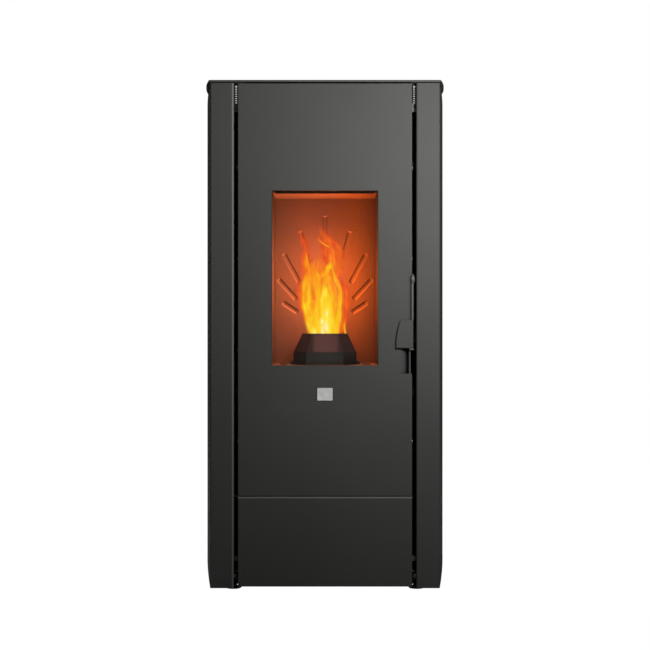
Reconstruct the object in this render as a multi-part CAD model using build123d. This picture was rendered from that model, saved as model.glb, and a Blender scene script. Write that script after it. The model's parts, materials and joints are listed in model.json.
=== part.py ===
"""Pellet stove, built up from its separate sheet, cast and turned pieces.

Millimetres, +Z up.  The front faces -Y and the origin is on the floor, in the middle of the
stove's footprint.  Depths are measured backwards from the face of the door.
"""
from build123d import *
from math import atan2, cos, degrees, pi, radians, sin, sqrt
import os

# ---------------------------------------------------------------- case, seen from the front
BODY_W = 580.0            # widest, at the back
FACE_W = BODY_W - 78.0    # across the two flat front strips
STRIP_W = 51.0            # one front strip
SLOT_W = 9.5              # black slot between strip and door
PANEL_TOP = 1106.4        # top edge of the side panels
SIDE_FOOT = 2.0           # side panels stop this far above the floor
SHEET = 2.0               # casing sheet
STRIP_RETURN = 25.0       # fold of the strip into the slot
STRIP_INNER_R = 3.5       # bend radius at the slot
STRIP_OUTER_R = 3.8       # bend radius at the flank
STRIP_X = FACE_W / 2 - STRIP_W
DOOR_X = STRIP_X - SLOT_W

# ---------------------------------------------------------------- case, seen from above
CASE_D = 540.0            # door face to the outside of the rear panel
KNEE_W = BODY_W - 11.0    # width where the slow curve of the sides ends
KNEE_D = 300.0            # depth of that place
FLANK_LEAN = 0.125        # outward lean of the sides at the front edge
REAR_RETURN = 20.0        # fold of the side panels behind the rear panel

# ---------------------------------------------------------------- top
DECK_T = 2.2              # sheet that closes the case, also the dark seam under the top plate
DECK_INSET = 6.0
DECK_FRONT_D = 24.0
TOP_T = 4.4               # top front plate, lid and rear strip
TOP_FRONT_D = 150.0       # rear edge of the top front plate
TOP_FRONT_X = FACE_W / 2 + 2.5     # half width of the plate at its front edge
TOP_EAR_X = FACE_W / 2 + 16.5      # half width where its curved side stands out most
TOP_EAR_D = 85.0
TOP_REAR_X = FACE_W / 2 + 18.2     # half width where the side meets the flank
TOP_FRONT_R = 3.0
LID_GAP = 2.0             # joint line in front of and behind the lid
LID_LIFT = 0.3            # lid clears the deck
LID_REAR_D = CASE_D - 27.0
LID_CORNER_R = 6.0
LID_PIN_D = LID_REAR_D + 8.0       # depth of the lid's hinge pin
LID_PIN_R = 1.75
LID_EAR_R = 4.0
LID_EAR_W = 30.0
LID_HINGE_X = 150.0
LID_NOTCH_W = 48.0        # opening in deck and strip for one hinge
LID_BRACKET_W = 6.0
GRILLE_SLOTS = 21         # warm-air slots in the top front plate
GRILLE_PITCH = 14.0
GRILLE_SLOT_W = 6.0
GRILLE_SLOT_L = 44.0
GRILLE_MID_D = 92.0
DISPLAY_W = 112.0
DISPLAY_D = 36.0
DISPLAY_T = 2.6
DISPLAY_MID_D = 36.0

# ---------------------------------------------------------------- door
DOOR_TOP = 1105.4
DOOR_FOOT = 204.0
DOOR_RETURN = 22.0        # fold of the door skin
WINDOW_W = 2 * DOOR_X - 148.0
WINDOW_Z0 = 488.5
WINDOW_Z1 = 871.5
GLASS_T = 4.0
GLASS_LAP = 11.5          # glass beyond the window opening
TAPE_T = 3.0              # gasket tape between skin and glass
TAPE_W = 8.5
FRAME_W = 2 * DOOR_X - 45.0        # cast frame behind the skin
FRAME_Z0 = 432.0
FRAME_Z1 = 928.0
FRAME_BACK_D = 25.0
ROPE_W = 12.0             # rope gasket, squeezed
ROPE_MID_W = FRAME_W - 36.0        # across the rope's middle line
ROPE_Z_INSET = 18.0       # rope's middle line inside the frame, top and bottom
HINGE_X = 7.0 - DOOR_X
HINGE_D = 8.0
HINGE_R = 3.0
HINGE_FIT = 0.05          # radial running clearance of pins
HINGE_BRACKET_T = 2.4
HINGE_BRACKET_GAP = 0.5   # to the door above and the drawer front below and in front
HINGE_PIN_L = 12.0
CLIP_PITCH = 200.0        # screws along the door's edges
CLIP_Z0 = 322.5
CLIP_R = 4.0
CLIP_T = 1.6
CLIP_D = 12.0

# ---------------------------------------------------------------- handle and latch
ROD_X = DOOR_X + 0.3
ROD_D = -3.4              # the rod runs just in front of the door
ROD_R = 3.1
ROD_FOOT = 527.0
SPIGOT_R = 1.5
SPIGOT_L = 4.0
SPIGOT_TOP_L = 13.0       # spigot at the top of the rod, in the boss
BOSS_SHIFT = 0.9          # boss stands this far outward of the rod's axis
BOSS_R = 4.9              # leaf-shaped boss at its widest
BOSS_FOOT_R = 3.5
BOSS_TIP_R = 0.5
BOSS_Z0 = 669.0
BOSS_MID_Z = 676.5
BOSS_Z1 = 689.5
STEP_T = 3.8              # foot bearing block
STEP_W = 9.6
PLATE_Z0 = 527.0
PLATE_Z1 = 588.0
PLATE_RIGHT_X = ROD_X + 1.6
PLATE_TOP_X = ROD_X - 25.5
PLATE_MID_X = ROD_X - 33.8
PLATE_FOOT_X = ROD_X - 35.6
PLATE_T = 2.4
PLATE_CHAMFER = 1.0
POCKET_X = DOOR_X - 27.5
POCKET_Z0 = 469.5
POCKET_Z1 = 530.0
POCKET_LEAN = 20.0        # degrees, slope of the dip where it leaves the door's face
POCKET_DEEP_X = DOOR_X - 12.0
POCKET_BAR_X0 = DOOR_X - 7.0       # upright bar on the outer side of the pocket
POCKET_BAR_X1 = DOOR_X - 3.2
POCKET_BAR_R = 0.9
POCKET_SHEET = 1.5
HOOK_T = 2.8
HOOK_Z0 = 540.0
HOOK_Z1 = 560.0
HOOK_BACK_D = 45.0
NOSE_T = 4.0
NOSE_L = 3.5
NOTCH_SPARE = 3.0         # room above and below the hook in the door's edge
KEEPER_D0 = 33.0
KEEPER_D1 = 38.0
KEEPER_GAP = 1.6          # keeper clears the nose
KEEPER_H = 30.0

# ---------------------------------------------------------------- badge
BADGE_W = 34.0
BADGE_H = 28.0
BADGE_T = 1.5
BADGE_Z = 426.0
BADGE_R = 2.5

# ---------------------------------------------------------------- chassis
BASE_Z0 = 21.0
BASE_T = 3.0
BASE_W = FACE_W - 12.0
BASE_FRONT_D = 26.0
BASE_EAR_D = 9.0
SKIRT_D = 29.0            # skirt folded down from the base plate, behind the front feet
SKIRT_FOOT = 5.4
POST_LEG = 20.0
POST_T = 2.5
POST_FRONT_X = STRIP_X + 2.5
POST_FRONT_D = 26.0
POST_REAR_X = BODY_W / 2 - 28.0
FOOT_X = STRIP_X + 1.0
FOOT_FRONT_D = 18.1
FOOT_REAR_D = CASE_D - 28.0
FOOT_R = 17.5
FOOT_RIM = 1.6
FOOT_RELIEF = 2.8         # slope of the disc, left free by the side panel's fold
STUD_R = 4.0
STUD_TOP = 38.0
NUT_AF = 13.0
NUT_T = 6.5
HANGER_X = STRIP_X - 3.6
HANGER_D = 30.0
HANGER_R = 4.0            # head
HANGER_CREST = 3.6        # thread
HANGER_CORE = 2.4
HANGER_TOP = PANEL_TOP - 0.3
HANGER_NECK_L = 3.0
HANGER_THREAD_L = 34.0
HANGER_BRACKET_H = 19.0

# ---------------------------------------------------------------- firebox
FIRE_W = WINDOW_W + 1.0   # between the side liners
LINER_T = 6.5
SHELL_T = 3.0
FRONT_FRAME_D = 34.0
FRONT_FRAME_T = 4.0
BACK_PLATE_D = 222.0      # face of the back plate
BACK_PLATE_T = 6.0
SHELL_REAR_D = 243.0      # inside of the shell's rear wall
FLOOR_Z = 488.0
FLOOR_T = 8.0
CEILING_Z = 875.0
BAFFLE_T = 6.0
BAFFLE_FRONT_D = 83.0     # air gap in front of the baffle
LINTEL_D = 47.0
SHELL_Z0 = 420.0
SHELL_Z1 = 1000.0
GROOVE_HUB_Z = 565.0      # the grooves point at this height on the middle line
GROOVE_W = 12.0
GROOVE_DEEP = 4.0
GROOVE_SLOPE = 3.4        # the groove's walls slope over this width
GROOVE_STEP = 14.2        # degrees between grooves
GROOVE_TIPS = (270.0, 241.0, 205.0, 164.0, 120.0)  # tip radius, middle groove first
GROOVE_LENGTHS = (102.0, 92.0, 79.0, 66.0, 44.0)

# ---------------------------------------------------------------- burn pot
POT_MID_D = 128.0
POT_BASE = 71.5           # half width of the body at its foot
POT_KNEE = 70.6           # half width where it starts to taper
POT_RIM = 51.3            # half width at the rim
POT_KNEE_H = 28.0
POT_H = 70.0
POT_WALL = 5.0
POT_CORNER = 0.42         # corner cut, as a share of the half width
POT_FLANGE_R = 79.4
POT_FLANGE_T = 8.0
POT_LIFT = 0.3            # clearance under the loose pot
POT_HOLE_R = 3.0
HOLDER_W = 120.0
HOLDER_Z0 = 425.0

# ---------------------------------------------------------------- pellet feed
AUGER_Z = 522.0
TUBE_R = 30.0
TUBE_WALL = 2.0
TUBE_REAR_D = CASE_D - 90.0
TUBE_GAP = 0.5            # tube mouth clears the pot
FLIGHT_R = 25.0
FLIGHT_PITCH = 44.0
FLIGHT_T = 3.0
SHAFT_R = 8.0
SHAFT_END_R = 6.0
INLET_D0 = TUBE_REAR_D - 125.0
INLET_D1 = TUBE_REAR_D - 45.0
INLET_W = 56.0
HOPPER_W = 364.0
HOPPER_D0 = 288.0
HOPPER_D1 = LID_REAR_D - 11.0
HOPPER_KNEE_Z = 760.0
HOPPER_FOOT_Z = 560.0
HOPPER_T = 2.0
GEARBOX_W = 70.0
GEARBOX_D1 = CASE_D - 10.0

# ---------------------------------------------------------------- smoke and air
DUCT_X0 = 45.0
DUCT_X1 = 120.0
DUCT_DEPTH = 35.0
DUCT_T = 2.0
DUCT_TOP = 960.0
SMOKE_Z0 = 170.0
SMOKE_Z1 = 300.0
SMOKE_DEPTH = 70.0
FAN_X = -30.0
FAN_Z = 236.0
FAN_R = 72.0
FAN_DEPTH = 56.0
FAN_EYE_R = 30.0
IMPELLER_R = 56.0
IMPELLER_BLADES = 8
FAN_SHAFT_R = 4.0
OUTLET_H = 50.0
OUTLET_X0 = 20.0          # box that widens the outlet to the flue's width
OUTLET_X = 62.0
FLUE_R = 40.0
FLUE_WALL = 1.5
FLUE_BEND_R = 55.0
SPIGOT_OUT = 35.0         # pipes stand out of the rear panel
SPIGOT_STEP = 0.6         # a pipe is this much slimmer inside the case
INTAKE_Z = 452.0
INTAKE_R = 25.0
INTAKE_WALL = 1.5
HOLE_SPARE = 1.5          # rear panel holes round pipes
IGNITER_X = 36.0
IGNITER_Z = 505.0
IGNITER_R = 5.0
IGNITER_SLEEVE_R = 7.0

# ---------------------------------------------------------------- warm-air blower
DRUM_L = 280.0
DRUM_R = 28.0
DRUM_D = CASE_D - 62.0
DRUM_Z = 78.0
DRUM_BLADES = 20
BLOWER_GAP = 4.0
BLOWER_SHEET = 2.0
BLOWER_MOTOR_L = 42.0

# ---------------------------------------------------------------- ash drawer
DRAWER_GAP = 0.9          # joint line between door and drawer
DRAWER_TOP = DOOR_FOOT - DRAWER_GAP
DRAWER_BEVEL = 4.5        # slope along the drawer front's upper edge
DRAWER_FOOT = 5.4
PAN_W = 280.0
PAN_D1 = 262.0
PAN_Z0 = 40.0
PAN_Z1 = 160.0
PAN_T = 1.5
LIP_W = 8.0
LIP_T = 5.0
LIP_Z = 100.0
RUNNER_T = 2.5
RUN_GAP = 0.3             # sliding clearance
CHUTE_GAP = 5.0           # chute clears the pan

# ---------------------------------------------------------------- electrics
INLET_X = 85.0 - BODY_W / 2
MAINS_Z = 110.0
MAINS_W = 48.0
MAINS_H = 60.0
ROCKER_W = 20.0
ROCKER_H = 13.0
ROCKER_TILT = 8.0
ROCKER_GAP = 0.6

# ---------------------------------------------------------------- worked out from the above
HANDLE_PROUD = PLATE_T + ROD_R - ROD_D - 0.1
FRONT_PROUD = HANDLE_PROUD               # the grip plate stands out most
TOTAL_D = CASE_D + SPIGOT_OUT + FRONT_PROUD
FRONT_Y = FRONT_PROUD - TOTAL_D / 2
WALL_D = CASE_D - SHEET                  # inner face of the rear panel
TOP_Z0 = PANEL_TOP + DECK_T
TOP_Z1 = TOP_Z0 + TOP_T
SHELL_X = FIRE_W / 2 + LINER_T
BASE_Z1 = BASE_Z0 + BASE_T
FLUE_X = OUTLET_X + FLUE_BEND_R
FLUE_Z = FAN_Z + FAN_R - OUTLET_H / 2
SMOKE_D0 = SHELL_REAR_D + SHELL_T
SMOKE_D1 = SMOKE_D0 + SMOKE_DEPTH
FAN_D1 = SMOKE_D1 + FAN_DEPTH
FLUE_MID_D = SMOKE_D1 + FLUE_R + 4       # the flue leaves the fan at this depth
POT_REAR_D = POT_MID_D + POT_BASE
GLASS_D0 = SHEET + TAPE_T
GLASS_D1 = GLASS_D0 + GLASS_T
SIDES = (-1, 1)


# ================================================================ small tools
def block(x0, x1, d0, d1, z0, z1):
    """Box between two widths, two depths and two heights."""
    middle = Pos((x0 + x1) / 2, FRONT_Y + (d0 + d1) / 2, (z0 + z1) / 2)
    return middle * Box(x1 - x0, d1 - d0, z1 - z0)


def rod_up(x, d, z0, z1, r):
    """Round bar standing upright."""
    return Pos(x, FRONT_Y + d, (z0 + z1) / 2) * Cylinder(r, z1 - z0)


def rod_back(x, z, d0, d1, r):
    """Round bar running from front to back."""
    return Pos(x, FRONT_Y + (d0 + d1) / 2, z) * Rot(90, 0, 0) * Cylinder(r, d1 - d0)


def rod_across(d, z, x0, x1, r):
    """Round bar running from left to right."""
    return Pos((x0 + x1) / 2, FRONT_Y + d, z) * Rot(0, 90, 0) * Cylinder(r, x1 - x0)


def frame_ring(half_w, z0, z1, width, d0, d1):
    """Flat rectangular ring standing upright, given by its outside and its rim width."""
    outside = block(-half_w, half_w, d0, d1, z0, z1)
    inside = block(-half_w + width, half_w - width, d0 - 1, d1 + 1, z0 + width, z1 - width)
    return outside - inside


def both_sides(shape):
    """The shape and its mirror image across the middle of the stove."""
    return [shape, mirror(shape, about=Plane.YZ)]


def upright(face, z0, z1):
    """Plan outline (width, depth) raised to a solid between two heights."""
    return extrude(Pos(0, FRONT_Y, z0) * face, amount=z1 - z0, dir=(0, 0, 1))


def drawn_from_front(face, d0, d1):
    """Outline drawn as (width, height), made a solid between two depths."""
    back = Plane(origin=(0, FRONT_Y + d1, 0), x_dir=(1, 0, 0), z_dir=(0, -1, 0))
    return extrude(back * face, amount=d1 - d0, dir=(0, -1, 0))


def plan_box(x0, x1, d0, d1):
    """Rectangle in plan."""
    return Pos((x0 + x1) / 2, (d0 + d1) / 2) * Rectangle(x1 - x0, d1 - d0)


def rounded_at(face, depth, radius, least_x=0.0):
    """Round the plan corners that lie at one depth."""
    corners = [v for v in face.vertices() if abs(v.Y - depth) < 0.01 and abs(v.X) > least_x]
    return fillet(corners, radius)


# ================================================================ case
def half_plan(inner_x, rear_d):
    """Right half of the case in plan, from inner_x out to the bellied side."""
    corner = (FACE_W / 2, 0)
    knee = (KNEE_W / 2, KNEE_D)
    flank = TangentArc(corner, knee, tangent=(FLANK_LEAN, 1))
    end = flank % 1
    turn_d = KNEE_D + 2 * (BODY_W - KNEE_W) / 2 * end.Y / end.X
    turn = (BODY_W / 2, turn_d)
    shoulder = TangentArc(knee, turn, tangent=end)
    rear = [Line(turn, (BODY_W / 2, rear_d)), Line((BODY_W / 2, rear_d), (inner_x, rear_d))]
    front = [Line((inner_x, rear_d), (inner_x, 0)), Line((inner_x, 0), corner)]
    return make_face([flank, shoulder] + rear + front)


def full_plan(rear_d):
    """Whole case in plan."""
    right = half_plan(0, rear_d)
    return right + mirror(right, about=Plane.YZ)


def side_panel():
    """Right side: strip, fold into the slot, bellied flank and rear fold, in one sheet."""
    outline = half_plan(STRIP_X, WALL_D)
    outline = rounded_at(outline, 0, STRIP_OUTER_R, FACE_W / 2 - 1)
    corner = [v for v in outline.vertices() if abs(v.Y) < 0.01 and abs(v.X - STRIP_X) < 0.01]
    outline = fillet(corner, STRIP_INNER_R)
    sheet = outline - offset(outline, amount=-SHEET)
    sheet -= plan_box(STRIP_X - 1, STRIP_X + SHEET + 1, STRIP_RETURN, CASE_D)
    sheet -= plan_box(STRIP_X - 1, BODY_W / 2 - SHEET - REAR_RETURN, WALL_D - 2 * REAR_RETURN, CASE_D)
    panel = upright(sheet, SIDE_FOOT, PANEL_TOP)
    foot_room = block(STRIP_X - 1, FOOT_X + 2 * STUD_R, FOOT_FRONT_D - FOOT_R + FOOT_RELIEF,
                      STRIP_RETURN + 1, 0, STUD_TOP + 1)
    return panel - foot_room


def rear_panel():
    """Sheet that closes the back, with air vents and the holes for pipes and sockets."""
    half_w = BODY_W / 2 - 1
    panel = block(-half_w, half_w, WALL_D, CASE_D, BASE_Z0, PANEL_TOP)
    panel -= rod_back(FLUE_X, FLUE_Z, WALL_D - 1, CASE_D + 1, FLUE_R + HOLE_SPARE)
    panel -= rod_back(0, INTAKE_Z, WALL_D - 1, CASE_D + 1, INTAKE_R + HOLE_SPARE)
    panel -= mains_cutout(0)
    vent_w, vent_h, rows, columns = 50.0, 5.0, 6, 4
    for row in range(rows):
        for column in range(columns):
            x = (column - (columns - 1) / 2) * (vent_w + 14.0)
            z = DRUM_Z + (row - (rows - 1) / 2) * 2.6 * vent_h
            panel -= block(x - vent_w / 2, x + vent_w / 2, WALL_D - 1, CASE_D + 1,
                           z - vent_h / 2, z + vent_h / 2)
    return panel


def lid_hinge_notch(z0, z1, front_d):
    """Opening for one lid hinge, at the right-hand hinge."""
    return block(LID_HINGE_X - LID_NOTCH_W / 2, LID_HINGE_X + LID_NOTCH_W / 2, front_d,
                 LID_PIN_D + LID_EAR_R + 1.5, z0, z1)


def top_deck():
    """Sheet under the top plates, with the hopper mouth, air opening and raised rear strip."""
    outline = offset(full_plan(WALL_D + DECK_INSET), amount=-DECK_INSET)
    outline -= plan_box(-BODY_W, BODY_W, -CASE_D, DECK_FRONT_D)
    deck = upright(outline, PANEL_TOP, TOP_Z0)
    deck -= hopper_block(HOPPER_T, PANEL_TOP - 1, TOP_Z0 + 1)
    grille_w = GRILLE_SLOTS * GRILLE_PITCH / 2
    deck -= block(-grille_w, grille_w, GRILLE_MID_D - GRILLE_SLOT_L / 2 - 2,
                  GRILLE_MID_D + GRILLE_SLOT_L / 2 + 2, PANEL_TOP - 1, TOP_Z0 + 1)
    strip = full_plan(CASE_D) - plan_box(-BODY_W, BODY_W, -CASE_D, LID_REAR_D + LID_GAP)
    deck += upright(strip, TOP_Z0, TOP_Z1)
    for notch in both_sides(lid_hinge_notch(PANEL_TOP - 1, TOP_Z1 + 1, LID_REAR_D)):
        deck -= notch
    tongue = block(HINGE_X - 12, HINGE_X + 12, SHEET + 1, DECK_FRONT_D + 1, PANEL_TOP, TOP_Z0)
    deck += tongue
    return deck - rod_up(HINGE_X, HINGE_D, PANEL_TOP - 1, TOP_Z0 + 1, HINGE_R)


def grille_slot(number):
    """One warm-air slot, cut right through the top front plate."""
    x = (number - (GRILLE_SLOTS - 1) / 2) * GRILLE_PITCH
    slot = Pos(x, GRILLE_MID_D) * SlotOverall(GRILLE_SLOT_L, GRILLE_SLOT_W, rotation=90)
    return upright(slot, TOP_Z0 - 1, TOP_Z1 + 1)


def display_block(lift, spare):
    """Space of the control display, in a recess of the top front plate."""
    return block(-DISPLAY_W / 2 - spare, DISPLAY_W / 2 + spare, DISPLAY_MID_D - DISPLAY_D / 2 - spare,
                 DISPLAY_MID_D + DISPLAY_D / 2 + spare, TOP_Z1 - DISPLAY_T, TOP_Z1 + lift)


def top_front_plate():
    """Overhanging plate over the door, with warm-air slots and the display's recess."""
    sides = [ThreePointArc((x * TOP_FRONT_X, -SHEET), (x * TOP_EAR_X, TOP_EAR_D),
                           (x * TOP_REAR_X, TOP_FRONT_D)) for x in SIDES]
    ends = [Line((-x, d), (x, d)) for x, d in ((TOP_FRONT_X, -SHEET), (TOP_REAR_X, TOP_FRONT_D))]
    outline = make_face(sides + ends)
    outline = rounded_at(outline, -SHEET, TOP_FRONT_R)
    plate = upright(outline, TOP_Z0, TOP_Z1)
    rim = plate.faces().sort_by(Axis.Z)[-1].outer_wire().edges()
    plate = chamfer(rim, 0.6)
    for number in range(GRILLE_SLOTS):
        plate -= grille_slot(number)
    return plate - display_block(1, 0)


def control_display():
    """Glass touch display, flush with the top."""
    return display_block(0, -0.2)


def hopper_lid():
    """Steel lid over the hopper, with one ear for each hinge pin."""
    outline = full_plan(CASE_D) - plan_box(-BODY_W, BODY_W, -CASE_D, TOP_FRONT_D + LID_GAP)
    outline -= plan_box(-BODY_W, BODY_W, LID_REAR_D, 2 * CASE_D)
    outline = rounded_at(outline, TOP_FRONT_D + LID_GAP, LID_CORNER_R)
    lid = upright(outline, TOP_Z0 + LID_LIFT, TOP_Z1)
    rim = lid.faces().sort_by(Axis.Z)[-1].outer_wire().edges()
    lid = chamfer(rim, 0.6)
    pin_z = TOP_Z1 - LID_EAR_R
    ear_x0 = LID_HINGE_X - LID_EAR_W / 2
    ear = block(ear_x0, ear_x0 + LID_EAR_W, LID_REAR_D - 1, LID_PIN_D, TOP_Z0 + LID_LIFT, TOP_Z1)
    ear += rod_across(LID_PIN_D, pin_z, ear_x0, ear_x0 + LID_EAR_W, LID_EAR_R)
    for one in both_sides(ear):
        lid += one
    bore = rod_across(LID_PIN_D, pin_z, ear_x0 - 1, ear_x0 + LID_EAR_W + 1, LID_PIN_R + HINGE_FIT)
    for one in both_sides(bore):
        lid -= one
    return lid


def lid_hinge_brackets():
    """Lugs welded to the rear panel, one on each side of each ear."""
    pin_z = TOP_Z1 - LID_EAR_R
    gap = (LID_NOTCH_W - LID_EAR_W) / 2 - LID_BRACKET_W - 1
    brackets = []
    for side in SIDES:
        x0 = LID_HINGE_X + side * (LID_EAR_W / 2 + gap + LID_BRACKET_W / 2) - LID_BRACKET_W / 2
        x1 = x0 + LID_BRACKET_W
        lug = block(x0, x1, LID_PIN_D - LID_EAR_R, LID_PIN_D + LID_EAR_R, TOP_Z1 - 21, TOP_Z1 - 0.5)
        lug += block(x0, x1, LID_PIN_D - LID_EAR_R, WALL_D, TOP_Z1 - 33, TOP_Z1 - 13)
        lug -= rod_across(LID_PIN_D, pin_z, x0 - 1, x1 + 1, LID_PIN_R)
        brackets += both_sides(lug)
    return brackets


def lid_hinge_pins():
    """Pins through the lid's ears, held by the brackets."""
    half = LID_NOTCH_W / 2 - 1
    pin = rod_across(LID_PIN_D, TOP_Z1 - LID_EAR_R, LID_HINGE_X - half, LID_HINGE_X + half, LID_PIN_R)
    return both_sides(pin)


# ================================================================ chassis
def base_plate():
    """Floor sheet, with ears that reach forward to the front feet."""
    plate = block(-BASE_W / 2, BASE_W / 2, BASE_FRONT_D, WALL_D - SHEET - 3, BASE_Z0, BASE_Z1)
    for ear in both_sides(block(DOOR_X + 1.5, FOOT_X + 14, BASE_EAR_D, BASE_FRONT_D + 1,
                                BASE_Z0, BASE_Z1)):
        plate += ear
    plate += block(-BASE_W / 2, BASE_W / 2, SKIRT_D, SKIRT_D + SHEET, SKIRT_FOOT, BASE_Z0 + 1)
    for d in (FOOT_FRONT_D, FOOT_REAR_D):
        for hole in both_sides(rod_up(FOOT_X, d, BASE_Z0 - 1, BASE_Z1 + 1, STUD_R)):
            plate -= hole
    return plate


def angle_post(x, d, toward_x, toward_d):
    """Upright angle profile whose corner stands at (x, d)."""
    xs = sorted((x, x + toward_x * POST_LEG))
    ds = sorted((d, d + toward_d * POST_LEG))
    thin_x = sorted((x, x + toward_x * POST_T))
    thin_d = sorted((d, d + toward_d * POST_T))
    post = block(xs[0], xs[1], thin_d[0], thin_d[1], BASE_Z1, PANEL_TOP)
    return post + block(thin_x[0], thin_x[1], ds[0], ds[1], BASE_Z1, PANEL_TOP)


def chassis_posts():
    """Four upright angle profiles between base plate and deck."""
    front = angle_post(POST_FRONT_X, POST_FRONT_D, 1, 1)
    rear = angle_post(POST_REAR_X, WALL_D - SHEET, 1, -1)
    return both_sides(front) + both_sides(rear)


def levelling_feet():
    """Round discs with a threaded stud, two at the front and two at the back."""
    feet = []
    for d in (FOOT_FRONT_D, FOOT_REAR_D):
        profile = Polyline((0, 0), (FOOT_R - 1, 0), (FOOT_R, 0.8), (FOOT_R, FOOT_RIM),
                           (FOOT_R - 2.8, FOOT_RIM), (STUD_R + 3, 7), (STUD_R, 7),
                           (STUD_R, STUD_TOP), (0, STUD_TOP), (0, 0))
        foot = revolve(Plane.XZ * make_face(profile), Axis.Z)
        feet += both_sides(Pos(FOOT_X, FRONT_Y + d, 0) * foot)
    return feet


def foot_lock_nuts():
    """Hexagon nuts above the base plate."""
    nuts = []
    for d in (FOOT_FRONT_D, FOOT_REAR_D):
        nut = extrude(RegularPolygon(NUT_AF / 2, 6, major_radius=False) - Circle(STUD_R), NUT_T)
        nuts += both_sides(Pos(FOOT_X, FRONT_Y + d, BASE_Z1) * nut)
    return nuts


def slot_hanger_bolts():
    """Domed bolts seen at the top of the slots."""
    dome_z = HANGER_TOP - HANGER_R
    thread_top = dome_z - 1 - HANGER_NECK_L
    foot = thread_top - HANGER_THREAD_L
    turns = 7
    step = HANGER_THREAD_L / turns
    points = [(0, foot), (HANGER_CORE, foot)]
    for turn in range(turns):
        z = foot + turn * step
        points += [(HANGER_CREST, z + step * 0.5), (HANGER_CORE, z + step)]
    points += [(HANGER_CORE, dome_z - 1), (HANGER_R, dome_z - 1), (HANGER_R, dome_z)]
    outline = Polyline(*points)
    slope = HANGER_R * sqrt(0.5)
    dome = ThreePointArc((HANGER_R, dome_z), (slope, dome_z + slope), (0, HANGER_TOP))
    bolt = revolve(Plane.XZ * make_face([outline, dome, Line((0, HANGER_TOP), (0, foot))]), Axis.Z)
    return both_sides(Pos(HANGER_X, FRONT_Y + HANGER_D, 0) * bolt)


def slot_hanger_brackets():
    """Blocks on the front posts that carry the hanger bolts."""
    z1 = HANGER_TOP - HANGER_R - 1 - HANGER_NECK_L - HANGER_THREAD_L + 2.5
    bracket = block(HANGER_X - HANGER_R, POST_FRONT_X, HANGER_D - HANGER_R + 0.1, HANGER_D + HANGER_R,
                    z1 - HANGER_BRACKET_H, z1)
    bracket -= rod_up(HANGER_X, HANGER_D, z1 - 2.5, z1 + 1, HANGER_CREST)
    return both_sides(bracket)


def slot_foot_brackets():
    """Small lugs on the front posts, seen at the foot of the slots."""
    flat = block(HANGER_X - HANGER_R, POST_FRONT_X, HANGER_D - 3.9, HANGER_D + 4, 57, 67)
    slant_face = make_face(Polyline((HANGER_X - HANGER_R, 34.5), (POST_FRONT_X, 29.0),
                                    (POST_FRONT_X, 32.0), (HANGER_X - HANGER_R, 37.5),
                                    (HANGER_X - HANGER_R, 34.5)))
    slant = drawn_from_front(slant_face, HANGER_D - 3.9, HANGER_D + 4)
    return both_sides(flat) + both_sides(slant)


# ================================================================ door
def window_block(grow, d0, d1):
    """Window opening, grown all round."""
    return block(-WINDOW_W / 2 - grow, WINDOW_W / 2 + grow, d0, d1,
                 WINDOW_Z0 - grow, WINDOW_Z1 + grow)


def bevel_wedge(size, d, z):
    """Wedge that is taken off along a top front edge at depth d and height z."""
    corners = [(d - 1, z - size - 1), (d - 1, z + 1), (d + size + 1, z + 1), (d - 1, z - size - 1)]
    face = Plane.YZ * make_face(Polyline(*[(FRONT_Y + y, height) for y, height in corners]))
    return extrude(face, amount=BODY_W, both=True)


def folded_front(z0, z1, bevel=0.0):
    """Sheet front as wide as the door, with a fold along all four edges."""
    front = block(-DOOR_X, DOOR_X, 0, DOOR_RETURN, z0, z1)
    edges = [e for e in front.edges().filter_by(Axis.Z) if abs(e.center().Y - FRONT_Y) < 0.01]
    front = fillet(edges, SHEET * 0.8)
    inside = block(-DOOR_X + SHEET, DOOR_X - SHEET, SHEET, DOOR_RETURN + 1, z0 + SHEET, z1 - SHEET)
    if bevel:
        front -= bevel_wedge(bevel, 0, z1)
        inside -= bevel_wedge(bevel - (2 - sqrt(2)) * SHEET, SHEET, z1 - SHEET)
    return front - inside


def door_skin():
    """Folded steel door with the window, the finger pocket and the hook's notch cut out."""
    skin = folded_front(DOOR_FOOT, DOOR_TOP)
    skin -= window_block(0, -1, SHEET + 1)
    skin -= block(POCKET_X, DOOR_X + 1, -1, DOOR_RETURN + 1, POCKET_Z0, POCKET_Z1)
    skin -= block(PLATE_RIGHT_X - HOOK_T - 3.6, DOOR_X + 1, -1, DOOR_RETURN + 1,
                  HOOK_Z0 - NOTCH_SPARE, HOOK_Z1 + NOTCH_SPARE)
    return skin - rod_up(HINGE_X, HINGE_D, DOOR_FOOT - 1, DOOR_TOP + 1, HINGE_R + HINGE_FIT)


def door_frame():
    """Cast frame behind the skin that presses the glass against its tape."""
    half = FRAME_W / 2
    frame = block(-half, half, SHEET, FRAME_BACK_D, FRAME_Z0, FRAME_Z1)
    frame -= window_block(2.5, SHEET - 1, FRAME_BACK_D + 1)
    frame -= block(POCKET_X - 0.5, half + 1, SHEET - 1, FRAME_BACK_D + 1, POCKET_Z0 - 0.5, POCKET_Z1 + 0.5)
    return frame - window_block(GLASS_LAP + 0.5, SHEET - 1, GLASS_D1)


def door_glass():
    """Ceramic glass pane."""
    return window_block(GLASS_LAP, GLASS_D0, GLASS_D1)


def glass_tape():
    """Flat gasket tape between the skin and the glass."""
    tape = window_block(GLASS_LAP, SHEET, GLASS_D0)
    return tape - window_block(GLASS_LAP - TAPE_W, SHEET - 1, GLASS_D0 + 1)


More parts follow.
